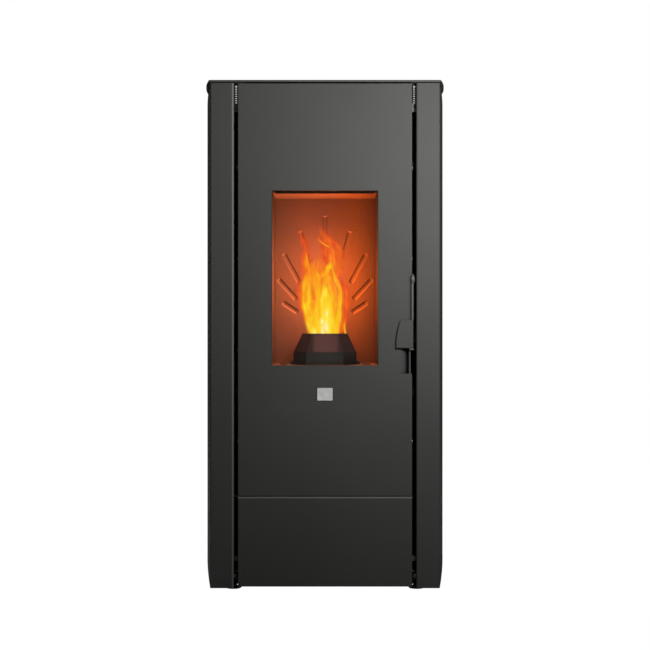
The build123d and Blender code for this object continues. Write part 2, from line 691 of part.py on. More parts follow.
def door_rope_gasket():
    """Rope seal on the back of the door frame, flat where it is held."""
    half = ROPE_MID_W / 2 + ROPE_W / 2
    z0 = FRAME_Z0 + ROPE_Z_INSET - ROPE_W / 2
    z1 = FRAME_Z1 - ROPE_Z_INSET + ROPE_W / 2
    rope = frame_ring(half, z0, z1, ROPE_W, FRAME_BACK_D, FRONT_FRAME_D - RUN_GAP)
    back = [e for e in rope.edges() if abs(e.center().Y - FRONT_Y - FRONT_FRAME_D + RUN_GAP) < 0.01]
    return fillet(back, ROPE_W * 0.3)


def clip_heights(side):
    """Heights of the screws on one edge of the door; the handle takes one place on the right."""
    heights = [CLIP_Z0 + n * CLIP_PITCH for n in range(4)]
    return [z for z in heights if side < 0 or not POCKET_Z0 < z < PLATE_Z1]


def door_edge_screws():
    """Low round screw heads on the folded edges of the door, seen in the slots."""
    screws = []
    for side in SIDES:
        x0, x1 = sorted((side * DOOR_X, side * (DOOR_X + CLIP_T)))
        screws += [rod_across(CLIP_D, z, x0, x1, CLIP_R) for z in clip_heights(side)]
    return screws


def door_hinge_pins():
    """Upper pin in the deck's tongue and lower pin on its bracket."""
    upper = rod_up(HINGE_X, HINGE_D, DOOR_TOP - HINGE_PIN_L, TOP_Z0, HINGE_R)
    lower = rod_up(HINGE_X, HINGE_D, hinge_bracket_top(), DOOR_FOOT + HINGE_PIN_L, HINGE_R)
    return [upper, lower]


def hinge_bracket_top():
    """Upper face of the lower hinge bracket, just under the door."""
    return DOOR_FOOT - HINGE_BRACKET_GAP


def door_hinge_bracket():
    """Flat bracket from the left front post to the lower hinge pin."""
    z1 = hinge_bracket_top()
    z0 = z1 - HINGE_BRACKET_T
    bracket = block(-STRIP_X + 0.6, HINGE_X + 7, HINGE_D - HINGE_R, POST_FRONT_D + 8, z0, z1)
    return bracket + block(-POST_FRONT_X, -STRIP_X + 1, POST_FRONT_D, POST_FRONT_D + 8, z0, z1)


def handle_pocket():
    """Curved sheet that dips from the door's face into the finger pocket, with a bar in front."""
    deep = DOOR_RETURN - SHEET
    slope = (cos(radians(POCKET_LEAN)), sin(radians(POCKET_LEAN)))
    dip = TangentArc((POCKET_X, 0), (POCKET_DEEP_X, deep), tangent=slope)
    inner = TangentArc((POCKET_X, SHEET), (POCKET_DEEP_X - POCKET_SHEET, DOOR_RETURN), tangent=slope)
    floor = Line((POCKET_DEEP_X, deep), (POCKET_BAR_X1, deep))
    end = Line((POCKET_BAR_X1, deep), (POCKET_BAR_X1, DOOR_RETURN))
    heel = Line((POCKET_BAR_X1, DOOR_RETURN), (POCKET_DEEP_X - POCKET_SHEET, DOOR_RETURN))
    start = Line((POCKET_X, SHEET), (POCKET_X, 0))
    pocket = upright(make_face([dip, floor, end, heel, inner, start]), POCKET_Z0, POCKET_Z1)
    bar = block(POCKET_BAR_X0, POCKET_BAR_X1, 0, DOOR_RETURN, POCKET_Z0, POCKET_Z1)
    pocket += fillet([e for e in bar.edges().filter_by(Axis.Z) if e.center().Y < FRONT_Y + 0.01],
                     POCKET_BAR_R)
    for z in (POCKET_Z0, POCKET_Z1 - POCKET_SHEET):
        pocket += block(POCKET_X, DOOR_X, 0, DOOR_RETURN, z, z + POCKET_SHEET)
    return pocket


def badge_plate():
    """Small blank plate with rounded corners."""
    plate = block(-BADGE_W / 2, BADGE_W / 2, -BADGE_T, 0, BADGE_Z - BADGE_H / 2, BADGE_Z + BADGE_H / 2)
    plate = fillet(plate.edges().filter_by(Axis.Y), BADGE_R)
    return chamfer(plate.faces().sort_by(Axis.Y)[0].outer_wire().edges(), 0.4)


# ================================================================ handle
def handle_bearings():
    """Leaf-shaped boss that holds the top of the rod, and the block under its foot."""
    widest, foot, tip = (BOSS_R, BOSS_MID_Z), (BOSS_FOOT_R, BOSS_Z0), (BOSS_TIP_R, BOSS_Z1)
    half = make_face([TangentArc(widest, foot, tangent=(0, -1)), Line(foot, (0, BOSS_Z0)),
                      Line((0, BOSS_Z0), (0, BOSS_Z1)), Line((0, BOSS_Z1), tip),
                      TangentArc(widest, tip, tangent=(0, 1))])
    boss = Pos(ROD_X + BOSS_SHIFT, FRONT_Y + ROD_D, 0) * revolve(Rot(90, 0, 0) * half, Axis.Z, 360)
    boss -= block(ROD_X - 20, ROD_X + 20, 0, 20, BOSS_Z0 - 1, BOSS_Z1 + 1)
    boss -= rod_up(ROD_X, ROD_D, BOSS_Z0 - 1, BOSS_Z0 + SPIGOT_TOP_L + 0.5, SPIGOT_R + HINGE_FIT)
    step_z1 = ROD_FOOT - RUN_GAP
    step = block(ROD_X + ROD_R - STEP_W, ROD_X + ROD_R, ROD_D - ROD_R - 0.6, 0, step_z1 - STEP_T, step_z1)
    step -= rod_up(ROD_X, ROD_D, step_z1 - STEP_T - 1, step_z1 + 1, SPIGOT_R + HINGE_FIT)
    return [boss, step]


def handle_rod():
    """Vertical round rod with a spigot at each end, and a flat where the grip plate ends."""
    rod = rod_up(ROD_X, ROD_D, ROD_FOOT, BOSS_Z0 - RUN_GAP, ROD_R)
    rod -= block(PLATE_RIGHT_X, ROD_X + ROD_R + 1, ROD_D - ROD_R - 1, 0, ROD_FOOT - 1, PLATE_Z1)
    return rod + rod_up(ROD_X, ROD_D, ROD_FOOT - SPIGOT_L, BOSS_Z0 + SPIGOT_TOP_L, SPIGOT_R)


def handle_plate():
    """Grip plate welded to the front of the rod, its free edge curved."""
    foot, top = (PLATE_FOOT_X, PLATE_Z0), (PLATE_TOP_X, PLATE_Z1)
    middle = (PLATE_MID_X, (PLATE_Z0 + PLATE_Z1) / 2)
    outline = make_face([ThreePointArc(foot, middle, top), Line(top, (PLATE_RIGHT_X, PLATE_Z1)),
                         Line((PLATE_RIGHT_X, PLATE_Z1), (PLATE_RIGHT_X, PLATE_Z0)),
                         Line((PLATE_RIGHT_X, PLATE_Z0), foot)])
    front_d = -HANDLE_PROUD
    plate = drawn_from_front(outline, front_d, front_d + PLATE_T)
    front = [e for e in plate.edges() if abs(e.center().Y - FRONT_Y - front_d) < 0.01]
    plate = chamfer([e for e in front if e.center().X < PLATE_RIGHT_X - 1], PLATE_CHAMFER)
    right = plate.edges().filter_by(Axis.Z).sort_by(Axis.X)[-2:]
    plate = fillet(right.sort_by(Axis.Y)[0], PLATE_T * 0.7)
    return plate - rod_up(ROD_X, ROD_D, PLATE_Z0 - 1, PLATE_Z1 + 1, ROD_R)


def latch_hook():
    """Flat hook from the rod back through the slot, with its nose behind the keeper's line."""
    x0, x1 = PLATE_RIGHT_X - HOOK_T, PLATE_RIGHT_X
    hook = block(x0, x1, ROD_D, HOOK_BACK_D, HOOK_Z0, HOOK_Z1)
    hook += block(x1 - 0.5, x1 + NOSE_L, HOOK_BACK_D - NOSE_T, HOOK_BACK_D, HOOK_Z0, HOOK_Z1)
    return hook - rod_up(ROD_X, ROD_D, HOOK_Z0 - 1, HOOK_Z1 + 1, ROD_R)


def latch_keeper():
    """Lug on the right front post that the hook's nose drops behind."""
    middle = (HOOK_Z0 + HOOK_Z1) / 2
    x0 = PLATE_RIGHT_X + NOSE_L + KEEPER_GAP
    return block(x0, POST_FRONT_X, KEEPER_D0, KEEPER_D1, middle - KEEPER_H / 2, middle + KEEPER_H / 2)


# ================================================================ firebox
def firebox_front_frame():
    """Flat steel frame that the door seals on, with four ears to the front posts."""
    half, ear_h = FRAME_W / 2, 20.0
    d1 = FRONT_FRAME_D + FRONT_FRAME_T
    frame = block(-half, half, FRONT_FRAME_D, d1, FRAME_Z0 - 12, FRAME_Z1 + 12)
    frame -= block(-FIRE_W / 2, FIRE_W / 2, FRONT_FRAME_D - 1, d1 + 1, FLOOR_Z, CEILING_Z)
    for z in (FRAME_Z0 - 12, FRAME_Z1 + 12 - ear_h):
        for ear in both_sides(block(half - 1, POST_FRONT_X, FRONT_FRAME_D, d1, z, z + ear_h)):
            frame += ear
    lintel = block(-FIRE_W / 2, FIRE_W / 2, d1 - 1, LINTEL_D, CEILING_Z, CEILING_Z + BAFFLE_T)
    return frame + lintel


def firebox_shell():
    """Welded box round the fire: two side walls, a rear wall with its holes, and a roof."""
    d0 = FRONT_FRAME_D + FRONT_FRAME_T
    side = block(SHELL_X, SHELL_X + SHELL_T, d0, SMOKE_D0, SHELL_Z0, SHELL_Z1)
    rear = block(-SHELL_X, SHELL_X, SHELL_REAR_D, SMOKE_D0, SHELL_Z0, SHELL_Z1)
    rear -= rod_back(0, AUGER_Z, SHELL_REAR_D - 1, SMOKE_D0 + 1, TUBE_R)
    rear -= rod_back(0, INTAKE_Z, SHELL_REAR_D - 1, SMOKE_D0 + 1, INTAKE_R)
    rear -= rod_back(IGNITER_X, IGNITER_Z, SHELL_REAR_D - 1, SMOKE_D0 + 1, IGNITER_SLEEVE_R)
    for window in both_sides(block(DUCT_X0 + DUCT_T, DUCT_X1 - DUCT_T, SHELL_REAR_D - 1, SMOKE_D0 + 1,
                                   CEILING_Z + 20, DUCT_TOP - DUCT_T)):
        rear -= window
    roof = block(-SHELL_X, SHELL_X, d0, SHELL_REAR_D, SHELL_Z1 - SHELL_T, SHELL_Z1)
    return both_sides(side) + [rear, roof]


def side_liners():
    """Plates that line the sides of the fire, and carry the baffle."""
    d0 = FRONT_FRAME_D + FRONT_FRAME_T
    d1 = BACK_PLATE_D + BACK_PLATE_T
    return both_sides(block(FIRE_W / 2, SHELL_X, d0, d1, FLOOR_Z, CEILING_Z))


def groove(number):
    """One groove of the fan in the back plate; number counts from the middle to the right."""
    tip, length = GROOVE_TIPS[abs(number)], GROOVE_LENGTHS[abs(number)]
    bar = Box(GROOVE_W, 2 * GROOVE_DEEP, length)
    bar = fillet(bar.edges().filter_by(Axis.Y), GROOVE_W * 0.3)
    deep_edges = bar.faces().sort_by(Axis.Y)[-1].outer_wire().edges()
    bar = chamfer(deep_edges, GROOVE_SLOPE)
    placed = Rot(0, number * GROOVE_STEP, 0) * Pos(0, 0, tip - length / 2) * bar
    return Pos(0, FRONT_Y + BACK_PLATE_D, GROOVE_HUB_Z) * placed


def back_plate():
    """Cast plate behind the fire with a fan of grooves, and holes for auger and igniter."""
    half, d1 = FIRE_W / 2, BACK_PLATE_D + BACK_PLATE_T
    plate = block(-half, half, BACK_PLATE_D, d1, FLOOR_Z, CEILING_Z)
    plate -= rod_back(0, AUGER_Z, BACK_PLATE_D - 1, d1 + 1, TUBE_R)
    plate -= rod_back(IGNITER_X, IGNITER_Z, BACK_PLATE_D - 1, d1 + 1, IGNITER_SLEEVE_R)
    reach = len(GROOVE_TIPS) - 1
    for number in range(-reach, reach + 1):
        plate -= groove(number)
    return plate


def baffle_plate():
    """Loose plate over the fire, resting on the side liners."""
    return block(-SHELL_X, SHELL_X, BAFFLE_FRONT_D, SHELL_REAR_D, CEILING_Z, CEILING_Z + BAFFLE_T)


def firebox_floor():
    """Floor plate under the burn pot, with an air hole and an ash slot on each side."""
    d0, d1 = FRONT_FRAME_D + FRONT_FRAME_T, SHELL_REAR_D
    floor = block(-SHELL_X, SHELL_X, d0, d1, FLOOR_Z - FLOOR_T, FLOOR_Z)
    floor -= rod_up(0, POT_MID_D, FLOOR_Z - FLOOR_T - 1, FLOOR_Z + 1, POT_BASE * 0.6)
    for slot in both_sides(block(86, 104, POT_MID_D - 60, POT_MID_D + 60,
                                 FLOOR_Z - FLOOR_T - 1, FLOOR_Z + 1)):
        floor -= slot
    return floor


def pot_holder():
    """Air box under the floor plate that feeds the burn pot."""
    half = HOLDER_W / 2
    z1 = FLOOR_Z - FLOOR_T
    box = block(-half, half, POT_MID_D - half, POT_MID_D + half, HOLDER_Z0, z1)
    box -= block(-half + SHELL_T, half - SHELL_T, POT_MID_D - half + SHELL_T, POT_MID_D + half - SHELL_T,
                 HOLDER_Z0 + SHELL_T, z1 + 1)
    return box - rod_back(0, INTAKE_Z, POT_MID_D, POT_MID_D + half + 1, INTAKE_R - INTAKE_WALL)


def pot_section(half, mid_d, z):
    """Square with cut corners, at one height of the burn pot."""
    cut = half * POT_CORNER
    points = [(half, half - cut), (half - cut, half), (cut - half, half), (-half, half - cut),
              (-half, cut - half), (cut - half, -half), (half - cut, -half), (half, cut - half)]
    outline = make_face(Polyline(*points, points[0]))
    return Pos(0, FRONT_Y + mid_d, z) * outline


def pot_body(inset, z0, z1):
    """Tapered eight-sided body; its rear face stays upright, against the auger tube."""
    def section(half, z):
        return pot_section(half - inset, POT_REAR_D - half, z)
    knee_z = FLOOR_Z + POT_KNEE_H
    lower = loft([section(POT_BASE, z0), section(POT_KNEE, knee_z)], ruled=True)
    rise = (z1 - knee_z) / (FLOOR_Z + POT_H - knee_z)
    upper_half = POT_KNEE + (POT_RIM - POT_KNEE) * rise
    return lower + loft([section(POT_KNEE, knee_z), section(upper_half, z1)], ruled=True)


def burn_pot():
    """Cast pot with a round flange, open at the top, with air holes in its floor."""
    z0 = FLOOR_Z + POT_LIFT
    flange_z = z0 + POT_FLANGE_T
    pot = rod_up(0, POT_MID_D, z0, flange_z, POT_FLANGE_R)
    pot = chamfer(pot.edges().sort_by(Axis.Z)[-1], 2)
    pot -= block(-POT_FLANGE_R, POT_FLANGE_R, POT_REAR_D, POT_MID_D + POT_FLANGE_R + 1, z0 - 1, flange_z + 1)
    pot += pot_body(0, z0, FLOOR_Z + POT_H)
    pot -= pot_body(POT_WALL, flange_z, FLOOR_Z + POT_H + 1)
    pot -= rod_back(0, AUGER_Z, POT_REAR_D - 2 * POT_WALL, POT_REAR_D + 2, FLIGHT_R - 2)
    pot -= rod_back(IGNITER_X, IGNITER_Z, POT_REAR_D - 2 * POT_WALL, POT_REAR_D + 2, IGNITER_R)
    spacing = 14.0
    for row in range(-1, 2):
        for column in range(-1, 2):
            pot -= rod_up(column * spacing, POT_MID_D + row * spacing, z0 - 1, flange_z + 1, POT_HOLE_R)
    return pot


def igniter():
    """Ceramic heating rod in its sleeve, just behind the pot's wall."""
    d0 = POT_REAR_D + TUBE_GAP
    rod = rod_back(IGNITER_X, IGNITER_Z, d0, SMOKE_D0 + 60, IGNITER_R)
    return rod + rod_back(IGNITER_X, IGNITER_Z, d0 + 12, SMOKE_D0 + 40, IGNITER_SLEEVE_R)


def ash_chute():
    """Four sloping sheets that lead the ash from the floor plate into the pan."""
    top_z, foot_z = SHELL_Z0, PAN_Z1 + CHUTE_GAP
    d0, d1 = FRONT_FRAME_D + FRONT_FRAME_T, SMOKE_D0
    top_w, foot_w = SHELL_X + SHELL_T, PAN_W / 2 - 18
    outer_top = plan_box(-top_w, top_w, d0, d1)
    outer_foot = plan_box(-foot_w, foot_w, d0 + 12, d1 - 12)
    inner_top = offset(outer_top, amount=-SHEET, kind=Kind.INTERSECTION)
    inner_foot = offset(outer_foot, amount=-SHEET, kind=Kind.INTERSECTION)
    lift = lambda face, z: Pos(0, FRONT_Y, z) * face
    outer = loft([lift(outer_foot, foot_z), lift(outer_top, top_z)], ruled=True)
    inner = loft([lift(inner_foot, foot_z), lift(inner_top, top_z)], ruled=True)
    return outer - inner


# ================================================================ ash drawer
def ash_drawer_front():
    """Lower panel of the front, which is the front of the ash drawer, sloped along its top."""
    front = folded_front(DRAWER_FOOT, DRAWER_TOP, DRAWER_BEVEL)
    spare = HINGE_BRACKET_GAP
    return front - block(-DOOR_X - 1, HINGE_X + 7 + spare, HINGE_D - HINGE_R - spare, DOOR_RETURN + 1,
                         hinge_bracket_top() - HINGE_BRACKET_T - spare, DRAWER_TOP + 1)


def ash_pan():
    """Open pan with a sliding lip along each side."""
    half = PAN_W / 2
    pan = block(-half, half, SHEET, PAN_D1, PAN_Z0, PAN_Z1)
    pan -= block(-half + PAN_T, half - PAN_T, SHEET + PAN_T, PAN_D1 - PAN_T, PAN_Z0 + PAN_T, PAN_Z1 + 1)
    for lip in both_sides(block(half - 0.5, half + LIP_W, 30, PAN_D1, LIP_Z, LIP_Z + LIP_T)):
        pan += lip
    return pan


def drawer_runners():
    """Angle profiles on the base plate that the pan's lips slide on."""
    inner = PAN_W / 2 + 1.0
    outer = PAN_W / 2 + LIP_W + RUN_GAP
    top = LIP_Z - RUN_GAP
    leg = block(outer, outer + RUNNER_T, POST_FRONT_D + 2, PAN_D1, BASE_Z1, top)
    return both_sides(leg + block(inner, outer + 1, POST_FRONT_D + 2, PAN_D1, top - RUNNER_T, top))


# ================================================================ pellet feed
def hopper_block(inset, z0, z1):
    """Upright-walled part of the hopper, outside or inset."""
    half = HOPPER_W / 2 - inset
    return block(-half, half, HOPPER_D0 + inset, HOPPER_D1 - inset, z0, z1)


def hopper_funnel(inset):
    """Sloping part of the hopper down to the auger's inlet."""
    half = HOPPER_W / 2 - inset
    top = plan_box(-half, half, HOPPER_D0 + inset, HOPPER_D1 - inset)
    foot = plan_box(-INLET_W / 2 - HOPPER_T + inset, INLET_W / 2 + HOPPER_T - inset,
                    INLET_D0 - HOPPER_T + inset, INLET_D1 + HOPPER_T - inset)
    return loft([Pos(0, FRONT_Y, HOPPER_FOOT_Z) * foot, Pos(0, FRONT_Y, HOPPER_KNEE_Z) * top], ruled=True)


def hopper():
    """Sheet hopper, open at the top and over the auger."""
    outside = hopper_block(0, HOPPER_KNEE_Z, PANEL_TOP) + hopper_funnel(0)
    inside = hopper_block(HOPPER_T, HOPPER_KNEE_Z, PANEL_TOP + 1) + hopper_funnel(HOPPER_T)
    return outside - inside


def auger_tube():
    """Tube from the hopper to the pot, with a square inlet and an end plate."""
    d0 = POT_REAR_D + TUBE_GAP
    half = INLET_W / 2
    tube = rod_back(0, AUGER_Z, d0, TUBE_REAR_D, TUBE_R)
    tube += block(-half - HOPPER_T, half + HOPPER_T, INLET_D0 - HOPPER_T, INLET_D1 + HOPPER_T,
                  AUGER_Z, HOPPER_FOOT_Z)
    tube -= rod_back(0, AUGER_Z, d0 - 1, TUBE_REAR_D - SHELL_T, TUBE_R - TUBE_WALL)
    tube -= block(-half, half, INLET_D0, INLET_D1, AUGER_Z, HOPPER_FOOT_Z + 1)
    return tube - rod_back(0, AUGER_Z, TUBE_REAR_D - SHELL_T - 1, TUBE_REAR_D + 1, SHAFT_R + 0.5)


def auger_screw():
    """Shaft with a helical flight."""
    d0 = POT_REAR_D + 6
    d1 = TUBE_REAR_D - SHELL_T - 4
    shaft = rod_back(0, AUGER_Z, d0, TUBE_REAR_D + 2, SHAFT_R)
    shaft += rod_back(0, AUGER_Z, TUBE_REAR_D, TUBE_REAR_D + 32, SHAFT_END_R)
    width = FLIGHT_R - SHAFT_R + 1
    mean_r = FLIGHT_R - width / 2
    length = d1 - d0 - FLIGHT_T
    helix = Helix(FLIGHT_PITCH, length, mean_r)
    section = Plane(origin=helix @ 0, x_dir=(1, 0, 0), z_dir=helix % 0) * Rectangle(width, FLIGHT_T)
    flight = sweep(section, path=helix, is_frenet=True)
    flight = Pos(0, FRONT_Y + d0 + FLIGHT_T, AUGER_Z) * Rot(-90, 0, 0) * flight
    return shaft + flight


def gear_motor():
    """Gear motor behind the auger tube, with the bore for the auger's shaft."""
    half = GEARBOX_W / 2
    box = block(-half, half, TUBE_REAR_D + 2.5, GEARBOX_D1 - 22, AUGER_Z - half, AUGER_Z + half)
    box = fillet(box.edges().filter_by(Axis.Y), 6)
    box += rod_back(0, AUGER_Z, GEARBOX_D1 - 23, GEARBOX_D1, 24)
    box += rod_back(0, AUGER_Z, TUBE_REAR_D, TUBE_REAR_D + 3, 18)
    return box - rod_back(0, AUGER_Z, TUBE_REAR_D - 1, TUBE_REAR_D + 34, SHAFT_R + 0.5) + gear_bush()


def gear_bush():
    """Bearing bush inside the gear motor."""
    bush = rod_back(0, AUGER_Z, TUBE_REAR_D + 8, TUBE_REAR_D + 34, SHAFT_R + 0.5)
    return bush - rod_back(0, AUGER_Z, TUBE_REAR_D + 7, TUBE_REAR_D + 33, SHAFT_END_R + HINGE_FIT)


# ================================================================ smoke and air
def smoke_passage():
    """Two flat ducts behind the firebox and the collecting box at their foot."""
    pieces = []
    duct = block(DUCT_X0, DUCT_X1, SMOKE_D0, SMOKE_D0 + DUCT_DEPTH, SMOKE_Z1, DUCT_TOP)
    duct -= block(DUCT_X0 + DUCT_T, DUCT_X1 - DUCT_T, SMOKE_D0 + DUCT_T, SMOKE_D0 + DUCT_DEPTH - DUCT_T,
                  SMOKE_Z1 - 1, DUCT_TOP - DUCT_T)
    duct -= block(DUCT_X0 + DUCT_T, DUCT_X1 - DUCT_T, SMOKE_D0 - 1, SMOKE_D0 + DUCT_T + 1,
                  CEILING_Z + 20, DUCT_TOP - DUCT_T)
    pieces += both_sides(duct)
    half = DUCT_X1 + 5
    box = block(-half, half, SMOKE_D0, SMOKE_D1, SMOKE_Z0, SMOKE_Z1)
    box -= block(-half + DUCT_T, half - DUCT_T, SMOKE_D0 + DUCT_T, SMOKE_D1 - DUCT_T,
                 SMOKE_Z0 + DUCT_T, SMOKE_Z1 - DUCT_T)
    box -= rod_back(FAN_X, FAN_Z, SMOKE_D1 - DUCT_T - 1, SMOKE_D1 + 1, FAN_EYE_R)
    for mouth in both_sides(block(DUCT_X0 + DUCT_T, DUCT_X1 - DUCT_T, SMOKE_D0 + DUCT_T,
                                  SMOKE_D0 + DUCT_DEPTH - DUCT_T, SMOKE_Z1 - DUCT_T - 1, SMOKE_Z1 + 1)):
        box -= mouth
    return pieces + [box]


def exhaust_fan_housing():
    """Scroll round the exhaust impeller, with its outlet to the right."""
    outlet_z1 = FAN_Z + FAN_R
    outlet_z0 = outlet_z1 - OUTLET_H
    wall = DUCT_T
    housing = rod_back(FAN_X, FAN_Z, SMOKE_D1, FAN_D1, FAN_R)
    housing += block(FAN_X, OUTLET_X, SMOKE_D1, FAN_D1, outlet_z0, outlet_z1)
    half = FLUE_R + 2
    housing += block(OUTLET_X0, OUTLET_X, SMOKE_D1, FLUE_MID_D + half, FLUE_Z - half, FLUE_Z + half)
    housing -= rod_back(FAN_X, FAN_Z, SMOKE_D1 + wall, FAN_D1 - wall, FAN_R - wall)
    housing -= block(FAN_X, OUTLET_X + 1, SMOKE_D1 + wall, FAN_D1 - wall, outlet_z0 + wall, outlet_z1 - wall)
    half -= wall
    housing -= block(OUTLET_X0 + wall, OUTLET_X + 1, SMOKE_D1 + wall, FLUE_MID_D + half,
                     FLUE_Z - half, FLUE_Z + half)
    housing -= rod_back(FAN_X, FAN_Z, SMOKE_D1 - 1, SMOKE_D1 + wall + 1, FAN_EYE_R)
    return housing - rod_back(FAN_X, FAN_Z, FAN_D1 - wall - 1, FAN_D1 + 1, FAN_SHAFT_R + 1)


def exhaust_impeller():
    """Disc with straight blades on the motor's shaft."""
    d0, d1 = SMOKE_D1 + 6, FAN_D1 - 8
    disc = rod_back(FAN_X, FAN_Z, d1 - 2, d1, IMPELLER_R)
    wheel = disc + rod_back(FAN_X, FAN_Z, d1 - 16, d1, 10)
    wheel += rod_back(FAN_X, FAN_Z, d1 - 16, FAN_D1 + 34, FAN_SHAFT_R)
    for number in range(IMPELLER_BLADES):
        turn = 360.0 * number / IMPELLER_BLADES
        blade = Pos((IMPELLER_R + 26) / 2, 0, 0) * Box(IMPELLER_R - 26, d1 - d0 - 1, 2)
        wheel += Pos(FAN_X, FRONT_Y + (d0 + d1 - 1) / 2, FAN_Z) * Rot(0, turn, 0) * blade
    return wheel


def exhaust_motor():
    """Motor on the back of the fan housing."""
    motor = rod_back(FAN_X, FAN_Z, FAN_D1, FAN_D1 + 58, 38)
    motor = fillet(motor.edges().sort_by(Axis.Y)[-1], 5)
    return motor - rod_back(FAN_X, FAN_Z, FAN_D1 - 1, FAN_D1 + 36, FAN_SHAFT_R + HINGE_FIT)


def flue_pipe():
    """Flange on the fan outlet, bend to the back and the spigot that takes the flue."""
    start = (OUTLET_X, FRONT_Y + FLUE_MID_D, FLUE_Z)
    corner_d = FLUE_MID_D + FLUE_BEND_R
    end_d = CASE_D + SPIGOT_OUT
    bend = ThreePointArc(start,
                         (OUTLET_X + FLUE_BEND_R * sin(pi / 4), FRONT_Y + corner_d - FLUE_BEND_R * cos(pi / 4),
                          FLUE_Z), (FLUE_X, FRONT_Y + corner_d, FLUE_Z))
    ring = Plane(origin=start, z_dir=(1, 0, 0)) * Circle(FLUE_R - SPIGOT_STEP)
    hole = Plane(origin=start, z_dir=(1, 0, 0)) * Circle(FLUE_R - FLUE_WALL)
    pipe = sweep(ring, path=bend) + rod_back(FLUE_X, FLUE_Z, corner_d, CASE_D + 1, FLUE_R - SPIGOT_STEP)
    pipe += rod_back(FLUE_X, FLUE_Z, CASE_D, end_d, FLUE_R)
    half = FLUE_R + 2
    pipe += block(OUTLET_X, OUTLET_X + 3, FLUE_MID_D - half, FLUE_MID_D + half, FLUE_Z - half, FLUE_Z + half)
    pipe -= sweep(hole, path=bend)
    pipe -= rod_back(FLUE_X, FLUE_Z, corner_d, end_d + 1, FLUE_R - FLUE_WALL)
    return pipe


def air_intake_pipe():
    """Straight pipe that brings outside air to the pot holder."""
    d0 = POT_MID_D + HOLDER_W / 2
    pipe = rod_back(0, INTAKE_Z, d0, CASE_D + 1, INTAKE_R - SPIGOT_STEP)
    pipe += rod_back(0, INTAKE_Z, CASE_D, CASE_D + SPIGOT_OUT, INTAKE_R)
    return pipe - rod_back(0, INTAKE_Z, d0 - 1, CASE_D + SPIGOT_OUT + 1, INTAKE_R - INTAKE_WALL)


# ================================================================ warm-air blower
def blower_housing():
    """Two end plates and a curved back sheet round the drum."""
    half = DRUM_L / 2 + BLOWER_GAP
    outer = DRUM_R + BLOWER_GAP + BLOWER_SHEET
    end = block(half, half + BLOWER_SHEET, DRUM_D - outer, DRUM_D + outer, BASE_Z1, DRUM_Z + outer)
    end -= rod_across(DRUM_D, DRUM_Z, half - 1, half + BLOWER_SHEET + 1, FAN_SHAFT_R + HINGE_FIT)
    shell = rod_across(DRUM_D, DRUM_Z, -half, half, outer)
    shell -= rod_across(DRUM_D, DRUM_Z, -half - 1, half + 1, outer - BLOWER_SHEET)
    shell -= block(-half - 1, half + 1, DRUM_D - outer - 1, DRUM_D + 8, DRUM_Z - 12, DRUM_Z + outer + 1)
    return both_sides(end) + [shell]


def blower_drum():
    """Long drum of slim blades between two discs, on its shaft."""
    half = DRUM_L / 2
    drum = rod_across(DRUM_D, DRUM_Z, -half, -half + 2, DRUM_R) + rod_across(DRUM_D, DRUM_Z, half - 2, half, DRUM_R)
    drum += rod_across(DRUM_D, DRUM_Z, -half - BLOWER_GAP - 8, half + BLOWER_GAP + 26, FAN_SHAFT_R)
    for number in range(DRUM_BLADES):
        turn = 360.0 * number / DRUM_BLADES
        blade = Pos(0, 0, DRUM_R - 4) * Rot(18, 0, 0) * Box(DRUM_L - 2, 1.2, 6)
        drum += Pos(0, FRONT_Y + DRUM_D, DRUM_Z) * Rot(turn, 0, 0) * blade
    return drum


def blower_motor():
    """Motor at the right-hand end of the drum, on a foot."""
    x0 = DRUM_L / 2 + BLOWER_GAP + BLOWER_SHEET
    motor = rod_across(DRUM_D, DRUM_Z, x0, x0 + BLOWER_MOTOR_L, 25)
    motor += block(x0 + 6, x0 + BLOWER_MOTOR_L - 6, DRUM_D - 18, DRUM_D + 18, BASE_Z1, DRUM_Z)
    return motor - rod_across(DRUM_D, DRUM_Z, x0 - 1, x0 + 28, FAN_SHAFT_R + HINGE_FIT)


# ================================================================ electrics
def control_box():
    """Case of the control board, on the left rear post."""
    box = block(-POST_REAR_X, -POST_REAR_X + 58, WALL_D - 110, WALL_D - 4, 330, 520)
    return fillet(box.edges().filter_by(Axis.Z), 3)


def mains_cutout(inset):
    """Rectangular hole in the rear panel for the mains inlet."""
    half_w, half_h = MAINS_W / 2 - 4 - inset, MAINS_H / 2 - 4 - inset
    return block(INLET_X - half_w, INLET_X + half_w, WALL_D - 1, CASE_D + 1,
                 MAINS_Z - half_h, MAINS_Z + half_h)


def rocker_centre_z():
    """Height of the rocker's pivot, in the upper part of the inlet."""
    return MAINS_Z + MAINS_H / 2 - 4 - 4 - ROCKER_H / 2


